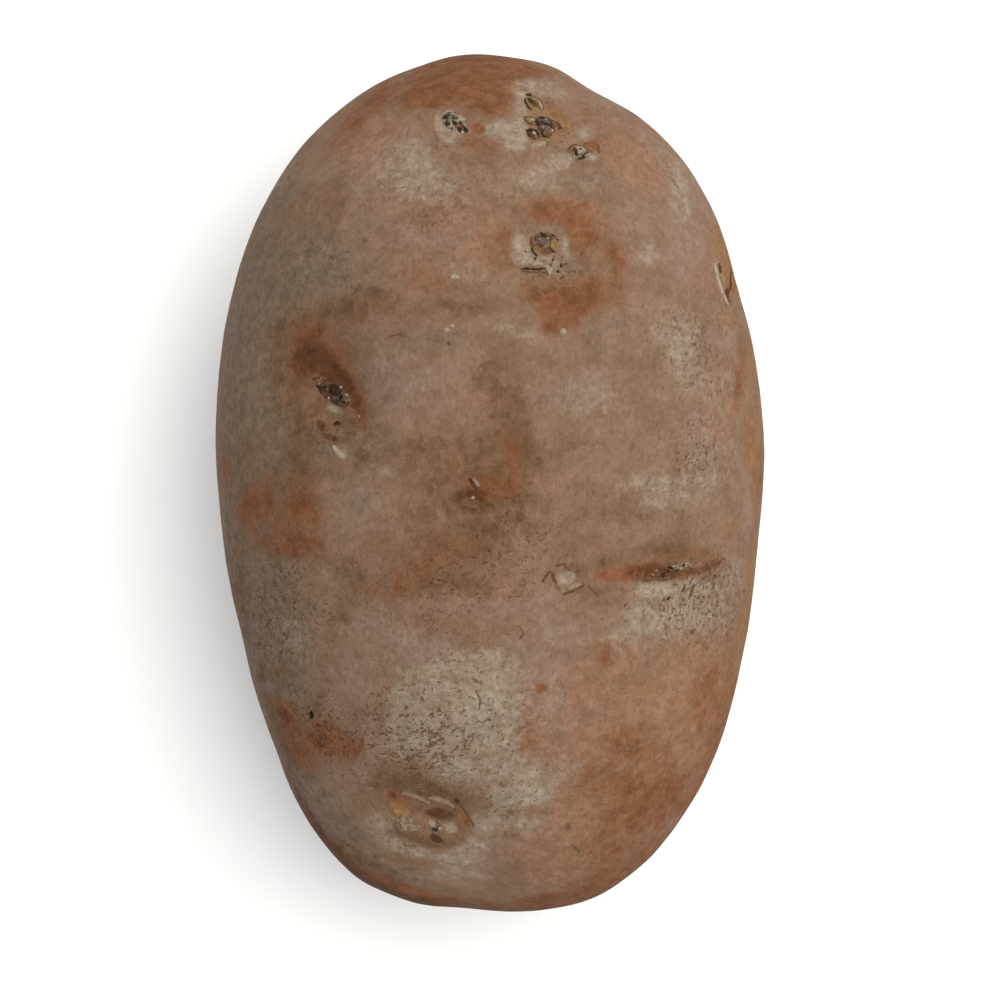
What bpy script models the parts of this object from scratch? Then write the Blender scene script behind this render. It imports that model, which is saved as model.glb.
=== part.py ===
"""A potato lying on its side: one solid, with its hollows, eyes, buds and resting spot.

Metres, +Z up. The rose end, where the eyes crowd together, points along +Y, and the stem end along -Y.
The origin is under the middle of the potato, on the surface that it rests on.
"""

import math
from collections import namedtuple

import bmesh
import bpy
import numpy as np

MM = 0.001

# Driving dimensions, in millimetres.
CROWN = 30.5  # from the middle up to the top of the back
BELLY = 28.5  # from the middle down to the belly, before its flat spot
FULLNESS = 2.12  # 2 is an ellipse; more makes the sides fuller
HEAD_RISE = 2.0  # how much higher the back is towards the rose end, and lower towards the stem end
FLAT_DEPTH = 0.9  # how far up the belly the flat spot lies
FLAT_BLEND = 0.3  # half the height over which the belly rounds into the flat spot
FLAT_PLACE = (0.0, 0.0)  # about the middle of the flat spot, under the potato's weight

# Half its width, length and height, roughly: they spread the facets and give the skin's lean.
ROUGH_HALF = np.array([35.0, 55.0, 29.5])

# The outline seen from above, x across and y along, counterclockwise from the right.
OUTLINE = [
    (34.9, 3.0), (34.2, 13.2), (31.9, 24.0), (28.1, 35.5),
    (23.0, 43.2), (18.7, 46.9), (12.2, 50.5), (8.7, 52.8),
    (2.2, 54.6), (-3.9, 54.7), (-10.3, 52.8), (-16.7, 49.5),
    (-23.7, 43.2), (-28.9, 35.5), (-33.0, 24.0), (-34.8, 12.4),
    (-34.9, 2.0), (-34.2, -7.3), (-31.7, -20.1), (-30.0, -27.0),
    (-27.5, -33.7), (-22.2, -45.0), (-16.7, -50.7), (-10.3, -53.5),
    (-2.6, -54.4), (7.0, -54.6), (14.0, -52.7), (19.3, -48.9),
    (25.3, -41.4), (29.2, -33.7), (32.4, -22.2), (34.0, -10.6),
]

TOP, UNDER = 1, -1

# A broad swelling or dent: its place seen from above, its side, its reach and its height.
Lump = namedtuple("Lump", "x y side reach height")
LUMPS = [
    Lump(-20.6, 14.6, TOP, 7.0, -1.2),
    Lump(-1.0, 1.0, TOP, 10.0, -0.8),
    Lump(21.0, -8.0, TOP, 9.0, -0.7),
    Lump(6.0, 29.5, TOP, 8.0, -0.6),
    Lump(18.0, 25.0, TOP, 11.0, 0.8),
    Lump(-14.0, 30.0, TOP, 12.0, 0.6),
    Lump(-8.0, -22.0, TOP, 13.0, 0.9),
    Lump(18.0, -28.0, TOP, 13.0, 0.8),
    Lump(-6.5, -41.0, TOP, 8.0, -0.6),
    Lump(-22.0, -30.0, TOP, 10.0, -0.5),
    Lump(-12.0, 24.0, UNDER, 14.0, 1.2),
    Lump(16.0, -22.0, UNDER, 15.0, 1.2),
    Lump(15.0, 30.0, UNDER, 10.0, -1.3),
    Lump(-18.0, -26.0, UNDER, 11.0, -1.2),
    Lump(-30.0, 2.0, UNDER, 10.0, -0.9),
    Lump(31.0, 6.0, UNDER, 11.0, 0.6),
]

# An eye: the place of its bud and its side, the turn of its brow in degrees, the width and height of
# its hollow, how deep the hollow is, how far the brow stands up, and the bud's width and height.
Eye = namedtuple("Eye", "name x y side turn width height depth brow bud_width bud_height")
EYES = [
    Eye("ringed", -4.2, 43.3, TOP, -25, 6.4, 5.4, 0.50, 0.15, 3.2, 0.45),
    Eye("rose_high", 5.4, 46.4, TOP, -35, 3.8, 2.6, 0.40, 0.15, 1.8, 0.35),
    Eye("rose_main", 6.8, 43.2, TOP, -20, 6.4, 4.2, 0.80, 0.25, 3.8, 0.75),
    Eye("rose_low", 5.2, 41.8, TOP, -30, 3.0, 2.2, 0.40, 0.10, 1.8, 0.40),
    Eye("rose_right", 11.2, 40.2, TOP, -8, 5.2, 3.4, 0.50, 0.20, 3.0, 0.50),
    Eye("upper", 6.6, 28.5, TOP, -5, 7.6, 6.0, 0.90, 0.35, 3.2, 0.75),
    Eye("deep", -18.5, 10.9, TOP, -32, 12.0, 9.0, 1.90, 0.60, 4.6, 0.70),
    Eye("deep_under", -19.0, 6.0, TOP, -20, 5.0, 3.6, 0.35, 0.15, 2.8, 0.35),
    Eye("middle", -1.9, -2.2, TOP, 8, 6.0, 4.6, 0.60, 0.20, 2.6, 0.30),
    Eye("scar", 8.3, -11.4, TOP, 15, 7.6, 4.6, 0.20, 0.20, 4.4, 0.30),
    Eye("long_brow", 21.1, -10.5, TOP, 12, 17.5, 5.2, 1.30, 0.85, 3.2, 0.30),
    Eye("almond", -6.9, -40.9, TOP, -20, 12.5, 6.6, 1.20, 0.50, 2.8, 0.65),
    Eye("rim", 29.8, 25.0, TOP, -72, 9.0, 4.6, 0.70, 0.35, 2.6, 0.30),
    Eye("belly_high", -9.0, 33.0, UNDER, 14, 10.0, 6.0, 1.30, 0.60, 3.2, 0.70),
    Eye("belly_right", 20.0, 11.0, UNDER, -18, 11.0, 6.4, 1.35, 0.65, 3.6, 0.70),
    Eye("belly_left", -25.0, -6.0, UNDER, 22, 9.6, 5.8, 1.20, 0.60, 3.2, 0.60),
    Eye("belly_low", 10.0, -33.0, UNDER, -8, 12.0, 6.4, 1.25, 0.65, 3.2, 0.60),
    Eye("left_side", -31.5, 26.0, UNDER, 60, 8.6, 5.2, 1.00, 0.50, 3.0, 0.50),
    Eye("right_side", 33.0, -12.0, UNDER, 80, 9.6, 5.6, 1.10, 0.55, 3.2, 0.55),
]
EYE_REACH = 1.6  # an eye's relief has faded away at this many of its widths, and ends there
HOLLOW_RISE = 0.3  # how far the hollow's middle lies above the bud, in half heights of the hollow
BROW_DROP = 0.95  # how far the brow's middle lies below the bud, in the same measure
BROW_BEND = 0.55  # how far the brow's ends come up from there
BROW_THICK = 0.4  # half the brow's thickness
BUD_FLATNESS = 0.7  # a bud's size across the brow, as a share of its width

STEM_SCAR = (5.0, -53.0, UNDER)  # where the potato grew on its stolon
STEM_SCAR_WIDTH = 5.0
STEM_SCAR_DEPTH = 0.9
STEM_SCAR_RIM = 0.35

# How finely the solid is faceted: facets along X, Y and Z, and two rings of finer ones at each eye.
FACETS = (21, 33, 18)
FINER_WITHIN = (1.15, 0.8)  # the rings' reach, in half widths of the eye's hollow

SKIN_COLOUR = (0.33, 0.19, 0.12, 1.0)


def outline_radius(angle):
    """The outline's distance from the middle, on a smooth closed curve through its points."""
    points = np.array(OUTLINE)
    knots = np.arctan2(points[:, 1], points[:, 0])
    radii = np.hypot(points[:, 0], points[:, 1])
    order = np.argsort(knots)
    knots, radii = knots[order], radii[order]
    turn = 2 * math.pi
    knots = np.concatenate([knots[-2:] - turn, knots, knots[:3] + turn])
    radii = np.concatenate([radii[-2:], radii, radii[:3]])
    slopes = np.gradient(radii, knots)
    at = np.clip(np.searchsorted(knots, angle, side="right") - 1, 1, len(knots) - 3)
    span = knots[at + 1] - knots[at]
    t = (angle - knots[at]) / span
    return (
        radii[at] * (1 + 2 * t) * (1 - t) ** 2
        + slopes[at] * span * t * (1 - t) ** 2
        + radii[at + 1] * t * t * (3 - 2 * t)
        + slopes[at + 1] * span * t * t * (t - 1)
    )


def half_height(directions):
    """How far the body reaches up or down in these directions, before lumps and eyes."""
    return np.where(directions[:, 2] > 0, CROWN + HEAD_RISE * directions[:, 1], BELLY)


def plain_body(directions):
    """Points of the smooth body in these unit directions from its middle."""
    flat = np.hypot(directions[:, 0], directions[:, 1])
    round_about = outline_radius(np.arctan2(directions[:, 1], directions[:, 0]))
    rise = np.abs(directions[:, 2]) / half_height(directions)
    reach = ((flat / round_about) ** FULLNESS + rise**FULLNESS) ** (-1 / FULLNESS)
    return directions * reach[:, None]


def place_on_body(x, y, side):
    """The point of the smooth body over or under (x, y)."""
    share = math.hypot(x, y) / float(outline_radius(np.array([math.atan2(y, x)]))[0])
    rise = (1 - min(share, 1.0) ** FULLNESS) ** (1 / FULLNESS)
    z = side * rise * (CROWN if side == TOP else BELLY)
    for _ in range(4):
        toward = np.array([[x, y, z]]) / math.sqrt(x * x + y * y + z * z)
        z = side * rise * float(half_height(toward)[0])
    return np.array([x, y, z])


def axes_at(place, turn):
    """The directions along a brow, across it towards the rose end, and out of the skin."""
    out = place / ROUGH_HALF**2
    out /= np.linalg.norm(out)
    across = np.array([0.0, 1.0, 0.0]) - out * out[1]
    across /= np.linalg.norm(across)
    along = np.cross(across, out)
    c, s = math.cos(math.radians(turn)), math.sin(math.radians(turn))
    return along * c + across * s, across * c - along * s, out


def lump_relief(points):
    """How far the broad swellings and dents move these points outwards."""
    moved = np.zeros(len(points))
    for lump in LUMPS:
        away = np.linalg.norm(points - place_on_body(lump.x, lump.y, lump.side), axis=1)
        moved += lump.height * np.exp(-((away / lump.reach) ** 2))
    return moved


def eye_relief(points, eye):
    """How far one eye moves these points: its hollow, the brow below it and its bud."""
    bud_place = place_on_body(eye.x, eye.y, eye.side)
    along, across, _ = axes_at(bud_place, eye.turn)
    offset = points - bud_place
    u = (offset @ along) / (eye.width / 2)
    v = (offset @ across) / (eye.height / 2)
    hollow = -eye.depth * np.exp(-(u**2) - (v - HOLLOW_RISE) ** 2)
    from_brow = v + BROW_DROP - BROW_BEND * u**2
    brow = eye.brow * np.exp(-((from_brow / BROW_THICK) ** 2) - u**4)
    from_bud = np.hypot(offset @ along, (offset @ across) / BUD_FLATNESS) / (eye.bud_width / 2)
    bud = eye.bud_height * np.exp(-(from_bud**3))
    near = np.linalg.norm(offset, axis=1) < EYE_REACH * eye.width
    return np.where(near, hollow + brow + bud, 0.0)


def stem_scar_relief(points):
    """A small round pit with a raised rim."""
    away = np.linalg.norm(points - place_on_body(*STEM_SCAR), axis=1) / (STEM_SCAR_WIDTH / 2)
    return STEM_SCAR_RIM * np.exp(-(((away - 1.2) / 0.4) ** 2)) - STEM_SCAR_DEPTH * np.exp(-(away**4))


def settled(points):
    """The belly pressed smoothly onto one plane, which the flat spot lies in."""
    above = points[:, 2] - flat_height()
    blend = (above + FLAT_BLEND) ** 2 / (4 * FLAT_BLEND)
    lifted = np.where(above < -FLAT_BLEND, 0.0, np.where(above > FLAT_BLEND, above, blend))
    settled_points = points.copy()
    settled_points[:, 2] = flat_height() + lifted
    return settled_points


def flat_height():
    """The height of the flat spot below the middle of the body."""
    return place_on_body(*FLAT_PLACE, UNDER)[2] + FLAT_DEPTH


def skin(directions):
    """Points of the finished skin in these unit directions from the middle."""
    body = plain_body(directions)
    relief = lump_relief(body) + stem_scar_relief(body)
    for eye in EYES:
        relief += eye_relief(body, eye)
    return settled(body + directions * relief[:, None])


def rounded(vertices):
    """Unit directions for points of the box that the facets start from, spread evenly."""
    box = np.array([v.co for v in vertices])
    ball = np.tan(box * math.pi / 4)
    ball /= np.linalg.norm(ball, axis=1)[:, None]
    stretched = ball * ROUGH_HALF
    return stretched / np.linalg.norm(stretched, axis=1)[:, None]


def split_along(mesh, axis, count):
    """Splits every edge that runs along this axis into count pieces."""
    edges = [e for e in mesh.edges if abs((e.verts[0].co - e.verts[1].co)[axis]) > 0.5]
    bmesh.ops.subdivide_edges(mesh, edges=edges, cuts=count - 1, use_grid_fill=True)


def refine_at_eyes(mesh, within):
    """Splits the facets that lie within this many half widths of an eye."""
    points = plain_body(rounded(mesh.verts))
    near = np.zeros(len(points), bool)
    for eye in EYES:
        away = np.linalg.norm(points - place_on_body(eye.x, eye.y, eye.side), axis=1)
        near |= away < within * eye.width / 2
    away = np.linalg.norm(points - place_on_body(*STEM_SCAR), axis=1)
    near |= away < within * STEM_SCAR_WIDTH
    mesh.verts.index_update()
    edges = [e for e in mesh.edges if near[e.verts[0].index] and near[e.verts[1].index]]
    bmesh.ops.subdivide_edges(mesh, edges=edges, cuts=1, use_grid_fill=True)


def potato_mesh():
    mesh = bmesh.new()
    bmesh.ops.create_cube(mesh, size=2.0)
    for axis, count in enumerate(FACETS):
        split_along(mesh, axis, count)
    for within in FINER_WITHIN:
        refine_at_eyes(mesh, within)
    points = skin(rounded(mesh.verts))
    middle = (points.min(axis=0) + points.max(axis=0)) / 2
    points -= [middle[0], middle[1], points[:, 2].min()]
    for vertex, point in zip(mesh.verts, points):
        vertex.co = point * MM
    bmesh.ops.recalc_face_normals(mesh, faces=mesh.faces)
    made = bpy.data.meshes.new("potato")
    mesh.to_mesh(made)
    mesh.free()
    made.shade_smooth()
    return made


def skin_material():
    material = bpy.data.materials.new("potato_skin")
    material.use_nodes = True
    shader = material.node_tree.nodes["Principled BSDF"]
    shader.inputs["Base Color"].default_value = SKIN_COLOUR
    shader.inputs["Roughness"].default_value = 0.8
    shader.inputs["Metallic"].default_value = 0.0
    return material


def clear_scene():
    for obj in list(bpy.data.objects):
        bpy.data.objects.remove(obj)


def main():
    clear_scene()
    potato = bpy.data.objects.new("potato", potato_mesh())
    potato.data.materials.append(skin_material())
    bpy.context.scene.collection.objects.link(potato)


main()
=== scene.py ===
"""The looks of a potato lying on its side, seen from straight above in soft light."""

import math
from collections import namedtuple

import bmesh
import bpy
import numpy as np
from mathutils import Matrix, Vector, noise


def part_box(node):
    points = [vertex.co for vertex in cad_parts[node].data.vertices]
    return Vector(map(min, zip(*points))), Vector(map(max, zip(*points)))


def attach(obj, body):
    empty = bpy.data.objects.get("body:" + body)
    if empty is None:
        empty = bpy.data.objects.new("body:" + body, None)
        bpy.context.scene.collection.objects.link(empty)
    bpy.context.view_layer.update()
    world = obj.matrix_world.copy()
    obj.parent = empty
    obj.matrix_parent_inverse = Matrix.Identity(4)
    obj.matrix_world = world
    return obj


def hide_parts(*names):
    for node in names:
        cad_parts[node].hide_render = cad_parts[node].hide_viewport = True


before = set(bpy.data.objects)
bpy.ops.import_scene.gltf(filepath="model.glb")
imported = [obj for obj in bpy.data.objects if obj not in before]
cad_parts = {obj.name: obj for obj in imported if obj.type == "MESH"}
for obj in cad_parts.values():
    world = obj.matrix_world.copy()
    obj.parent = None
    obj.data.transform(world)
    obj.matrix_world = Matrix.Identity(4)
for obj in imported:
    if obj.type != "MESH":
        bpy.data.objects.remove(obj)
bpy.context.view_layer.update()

MM = 0.001

# The shape, in millimetres from the middle of the potato, as the solid has it.
CROWN = 30.5  # from the middle up to the top of the back
BELLY = 28.5  # from the middle down to the belly, before its flat spot
FULLNESS = 2.12  # 2 is an ellipse; more makes the sides fuller
HEAD_RISE = 2.0  # how much higher the back is towards the rose end, and lower towards the stem end
FLAT_DEPTH = 0.9  # how far up the belly the flat spot lies
FLAT_BLEND = 0.3  # half the height over which the belly rounds into the flat spot
FLAT_PLACE = (0.0, 0.0)  # about the middle of the flat spot, under the potato's weight
HEIGHT_STEPS = 4  # in how many steps the sloping back's height over a place is found

# Half its width, length and height, roughly: they spread the facets and give the skin's lean.
ROUGH_HALF = np.array([35.0, 55.0, 29.5])

# The outline seen from above, x across and y along, counterclockwise from the right.
OUTLINE = [
    (34.9, 3.0), (34.2, 13.2), (31.9, 24.0), (28.1, 35.5),
    (23.0, 43.2), (18.7, 46.9), (12.2, 50.5), (8.7, 52.8),
    (2.2, 54.6), (-3.9, 54.7), (-10.3, 52.8), (-16.7, 49.5),
    (-23.7, 43.2), (-28.9, 35.5), (-33.0, 24.0), (-34.8, 12.4),
    (-34.9, 2.0), (-34.2, -7.3), (-31.7, -20.1), (-30.0, -27.0),
    (-27.5, -33.7), (-22.2, -45.0), (-16.7, -50.7), (-10.3, -53.5),
    (-2.6, -54.4), (7.0, -54.6), (14.0, -52.7), (19.3, -48.9),
    (25.3, -41.4), (29.2, -33.7), (32.4, -22.2), (34.0, -10.6),
]

TOP, UNDER = 1, -1

# A broad swelling or dent: its place seen from above, its side, its reach and its height.
Lump = namedtuple("Lump", "x y side reach height")
LUMPS = [
    Lump(-20.6, 14.6, TOP, 7.0, -1.2),
    Lump(-1.0, 1.0, TOP, 10.0, -0.8),
    Lump(21.0, -8.0, TOP, 9.0, -0.7),
    Lump(6.0, 29.5, TOP, 8.0, -0.6),
    Lump(18.0, 25.0, TOP, 11.0, 0.8),
    Lump(-14.0, 30.0, TOP, 12.0, 0.6),
    Lump(-8.0, -22.0, TOP, 13.0, 0.9),
    Lump(18.0, -28.0, TOP, 13.0, 0.8),
    Lump(-6.5, -41.0, TOP, 8.0, -0.6),
    Lump(-22.0, -30.0, TOP, 10.0, -0.5),
    Lump(-12.0, 24.0, UNDER, 14.0, 1.2),
    Lump(16.0, -22.0, UNDER, 15.0, 1.2),
    Lump(15.0, 30.0, UNDER, 10.0, -1.3),
    Lump(-18.0, -26.0, UNDER, 11.0, -1.2),
    Lump(-30.0, 2.0, UNDER, 10.0, -0.9),
    Lump(31.0, 6.0, UNDER, 11.0, 0.6),
]

# An eye: the place of its bud and its side, the turn of its brow in degrees, the width and height of
# its hollow, how deep the hollow is, how far the brow stands up, and the bud's width and height.
Eye = namedtuple("Eye", "name x y side turn width height depth brow bud_width bud_height")
EYES = [
    Eye("ringed", -4.2, 43.3, TOP, -25, 6.4, 5.4, 0.50, 0.15, 3.2, 0.45),
    Eye("rose_high", 5.4, 46.4, TOP, -35, 3.8, 2.6, 0.40, 0.15, 1.8, 0.35),
    Eye("rose_main", 6.8, 43.2, TOP, -20, 6.4, 4.2, 0.80, 0.25, 3.8, 0.75),
    Eye("rose_low", 5.2, 41.8, TOP, -30, 3.0, 2.2, 0.40, 0.10, 1.8, 0.40),
    Eye("rose_right", 11.2, 40.2, TOP, -8, 5.2, 3.4, 0.50, 0.20, 3.0, 0.50),
    Eye("upper", 6.6, 28.5, TOP, -5, 7.6, 6.0, 0.90, 0.35, 3.2, 0.75),
    Eye("deep", -18.5, 10.9, TOP, -32, 12.0, 9.0, 1.90, 0.60, 4.6, 0.70),
    Eye("deep_under", -19.0, 6.0, TOP, -20, 5.0, 3.6, 0.35, 0.15, 2.8, 0.35),
    Eye("middle", -1.9, -2.2, TOP, 8, 6.0, 4.6, 0.60, 0.20, 2.6, 0.30),
    Eye("scar", 8.3, -11.4, TOP, 15, 7.6, 4.6, 0.20, 0.20, 4.4, 0.30),
    Eye("long_brow", 21.1, -10.5, TOP, 12, 17.5, 5.2, 1.30, 0.85, 3.2, 0.30),
    Eye("almond", -6.9, -40.9, TOP, -20, 12.5, 6.6, 1.20, 0.50, 2.8, 0.65),
    Eye("rim", 29.8, 25.0, TOP, -72, 9.0, 4.6, 0.70, 0.35, 2.6, 0.30),
    Eye("belly_high", -9.0, 33.0, UNDER, 14, 10.0, 6.0, 1.30, 0.60, 3.2, 0.70),
    Eye("belly_right", 20.0, 11.0, UNDER, -18, 11.0, 6.4, 1.35, 0.65, 3.6, 0.70),
    Eye("belly_left", -25.0, -6.0, UNDER, 22, 9.6, 5.8, 1.20, 0.60, 3.2, 0.60),
    Eye("belly_low", 10.0, -33.0, UNDER, -8, 12.0, 6.4, 1.25, 0.65, 3.2, 0.60),
    Eye("left_side", -31.5, 26.0, UNDER, 60, 8.6, 5.2, 1.00, 0.50, 3.0, 0.50),
    Eye("right_side", 33.0, -12.0, UNDER, 80, 9.6, 5.6, 1.10, 0.55, 3.2, 0.55),
]
EYE_REACH = 1.6  # an eye's relief has faded away at this many of its widths, and ends there
HOLLOW_RISE = 0.3  # how far the hollow's middle lies above the bud, in half heights of the hollow
BROW_DROP = 0.95  # how far the brow's middle lies below the bud, in the same measure
BROW_BEND = 0.55  # how far the brow's ends come up from there
BROW_THICK = 0.4  # half the brow's thickness
BUD_FLATNESS = 0.7  # a bud's size across the brow, as a share of its width

STEM_SCAR = (5.0, -53.0, UNDER)  # where the potato grew on its stolon
STEM_SCAR_WIDTH = 5.0
STEM_SCAR_DEPTH = 0.9
STEM_SCAR_RIM = 0.35
STEM_SCAR_RIM_PLACE = 1.2  # how far out the rim lies, in half widths of the scar
STEM_SCAR_RIM_WIDTH = 0.4

# How finely the skin is faceted. It starts as a box, with this many facets along X, Y and Z, and two
# rings of finer ones. A ring reaches so many half widths round an eye, by the eye's side, and so
# many millimetres round a firm mark.
BOX_SIZE = 2.0
FACETS = (84, 132, 72)
FINER = [({TOP: 1.1, UNDER: 1.25}, 1.2), ({TOP: 0.3, UNDER: 0.7}, 0.5)]

# The camera looks straight down. Its place is in millimetres from the middle of the potato.
CAMERA_PLACE = (1.22, -2.18, 356.8)
LENS, SENSOR = 100.0, 36.0
FRAME_PIXELS = 1000
PIXEL = 0.12  # about how many millimetres of the skin one pixel shows

# What the photograph shows ends on a wavy line round the flanks: the heights between which it fades
# in, above the middle of the potato, and the height and the length of the line's waves.
SHOWN_HEIGHTS = (-8.0, -1.0)
SHOWN_WAVE_HEIGHT = 4.5
SHOWN_WAVE_LENGTH = 9.0

# The skin's paints, in the order in which they lie on each other: each has a darker and a lighter
# colour, how much it hides, how ragged its edge is, the size in millimetres of the edge's tears, the
# size of its clouds, and between which shares of the paint it fades in.
Paint = namedtuple("Paint", "name dark light cover ragged tear cloud fade")
BROAD, FINE, TINY = 2.6, 1.4, 0.45  # sizes of tears
SOFT, FIRM = (0.11, 0.78), (0.32, 0.66)  # how soft patches and firm marks fade in
PAINTS = [
    Paint("lilac", (0.170, 0.104, 0.078), (0.222, 0.148, 0.116), 0.72, 0.7, BROAD, 1.1, SOFT),
    Paint("grey", (0.111, 0.077, 0.053), (0.159, 0.114, 0.081), 0.85, 0.7, BROAD, 1.3, SOFT),
    Paint("blush", (0.188, 0.093, 0.051), (0.236, 0.124, 0.073), 0.85, 0.7, BROAD, 1.5, SOFT),
    Paint("umber", (0.085, 0.042, 0.020), (0.140, 0.075, 0.039), 0.80, 0.7, BROAD, 1.7, SOFT),
    Paint("russet", (0.118, 0.042, 0.016), (0.178, 0.070, 0.030), 0.90, 0.7, BROAD, 1.9, SOFT),
    Paint("scurf", (0.185, 0.137, 0.097), (0.272, 0.214, 0.158), 0.85, 0.8, FINE, 1.2, SOFT),
    Paint("ochre", (0.148, 0.070, 0.023), (0.222, 0.117, 0.048), 0.85, 0.5, FINE, 1.4, SOFT),
    Paint("dark", (0.040, 0.017, 0.007), (0.085, 0.034, 0.014), 0.90, 0.5, FINE, 1.6, SOFT),
    Paint("white", (0.200, 0.152, 0.106), (0.300, 0.242, 0.180), 0.90, 0.5, FINE, 1.0, SOFT),
    Paint("copper", (0.125, 0.050, 0.019), (0.200, 0.086, 0.038), 0.92, 0.5, TINY, TINY, FIRM),
    Paint("bark", (0.062, 0.030, 0.012), (0.112, 0.056, 0.021), 0.92, 0.5, TINY, TINY, FIRM),
    Paint("amber", (0.120, 0.074, 0.025), (0.215, 0.142, 0.058), 0.92, 0.5, TINY, TINY, FIRM),
    Paint("slate", (0.055, 0.038, 0.028), (0.118, 0.088, 0.070), 0.92, 0.5, TINY, TINY, FIRM),
    Paint("red", (0.044, 0.015, 0.007), (0.085, 0.029, 0.013), 0.92, 0.5, TINY, TINY, FIRM),
    Paint("chalk", (0.230, 0.185, 0.135), (0.320, 0.268, 0.200), 0.92, 0.5, TINY, TINY, FIRM),
    Paint("soot", (0.010, 0.006, 0.003), (0.036, 0.021, 0.011), 0.96, 0.5, TINY, TINY, FIRM),
]

# How each paint fades in. Crumbs do as a firm paint does.
FADES = {paint.name: paint.fade for paint in PAINTS}

# Kinds of dry crumbs: the share of them that is black, the colour of the others, and the painted
# shade in the gaps between them. A share below 0 leaves none black.
Crust = namedtuple("Crust", "name black_share pale gap")
CRUSTS = [
    Crust("char", 0.62, (0.110, 0.072, 0.046), (0.020, 0.011, 0.007)),
    Crust("grit", 0.42, (0.270, 0.228, 0.172), (0.150, 0.115, 0.082)),
    Crust("meal", -0.10, (0.215, 0.155, 0.098), (0.085, 0.052, 0.027)),
]

BLACK_CRUMB = (0.014, 0.009, 0.006)
CRUMB_BLEND = 0.08  # how softly black crumbs turn into pale ones, in shares of the crumbs
STAIN = (0.066, 0.036, 0.019)  # brown stains on the crumbs
STAIN_SHARE = 0.6
# The gaps between crumbs carry painted shade.
GAP_SHADE_SHARE = 0.7  # how much a gap hides the crumbs' colour

BASE_DARK = (0.154, 0.089, 0.053)
BASE_LIGHT = (0.194, 0.118, 0.077)

# Kinds of noise: about how many millimetres apart its largest clouds are, how many finer layers it
# has, how strong these are, and how much it is warped.
Noise = namedtuple("Noise", "size detail roughness warp", defaults=[4.0, 0.6, 0.0])
BASE_CLOUDS = Noise(5.0, 5.0, 0.65, 0.4)
PAINT_CLOUDS = Noise(BROAD, 5.0, 0.7)
TEARS = Noise(BROAD, 7.0, 0.74, 0.3)
MOTTLE = Noise(1.5, 3.0, 0.65)
GRAIN = Noise(0.42, 3.0, 0.65)
FLECKS = Noise(0.55, 2.0, 0.55, 0.5)
CLUMPS = Noise(3.6, 3.0)
PITS = Noise(0.60, 2.0, 0.6, 0.4)
STAINS = Noise(0.9)
CRUST_TEARS = Noise(0.5, 3.0, 0.7)
DULL_CLOUDS = Noise(1.4)
FINE_FLAKES = Noise(0.8, 4.0, 0.75, 0.6)
FINE_GRAIN = Noise(0.35, 2.0)

# The values between which noise, or the distance in a gap, fades in.
CLOUD_FADE = (0.35, 0.65)
MOTTLE_FADE = (0.32, 0.68)
GRAIN_FADE = (0.34, 0.66)
PALE_FLECK_FADE = (0.56, 0.62)
DARK_FLECK_FADE = (0.44, 0.38)
PIT_FADE = (0.38, 0.25)
STAIN_FADE = (0.45, 0.65)
GAP_FADE = (0.38, 0.66)
CRUST_FADE = (0.25, 0.55)

# A paint's edge: how much noise multiplies the paint by, and how much it adds to it.
TEAR_STRENGTH = 3.8
TEAR_SPREAD = 0.6
CRUST_TEAR = 1.2  # the span of what noise adds to the crumbs or takes from them

# Mottle and grain: their darker and lighter tones, and how strongly they are laid over the skin.
MOTTLE_TONES = ((0.25, 0.22, 0.19), (0.75, 0.76, 0.77))
MOTTLE_SHARE = 0.10
GRAIN_TONES = ((0.25, 0.23, 0.21), (0.74, 0.74, 0.74))
GRAIN_SHARE = 0.055
ROUGH_GRAIN_SHARE = 0.12  # how much more grain there is where the skin is rough

# Flecks and pits: what they multiply the skin's colour by. A pit is partly darker skin and partly painted
# shade, and a painted highlight lies on its lip beside it.
PALE_FLECK = (1.105, 1.115, 1.125)
DARK_FLECK = (0.895, 0.87, 0.845)
FLECK_STRETCH = (1.25, 0.7, 1.0)
PIT_SHADE = (0.56, 0.45, 0.34)
PIT_HIGHLIGHT = (1.55, 1.60, 1.65)
PIT_HIGHLIGHT_SHARE = 0.55
# Where the painted highlight lies beside its pit.
PIT_HIGHLIGHT_OFFSET = (-0.16, 0.12, 0.07)  # from a lip to its pit, in millimetres

CLUMP_STRENGTH = 3.2  # the span of what clumps add to the skin's roughness or take from it
PIT_CROWDING = 0.085  # how much wider the pits open where the roughness is 1
PIT_FIRMNESS = (-0.5, 1.0)  # between which strengths of the rough patches pits grow dark and deep

# The finest relief: its height in millimetres, and the shares of flakes, pits and grain in it.
BUMP_STRENGTH = 0.9
BUMP_HEIGHT = 0.35
SMOOTH_SKIN_FLAKES = 0.25
PIT_BUMP = 0.5
GRAIN_BUMP = 0.2

DULLNESS = (0.70, 0.92)  # the least and the greatest roughness of the skin's surface
SPECULAR = 0.06

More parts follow.
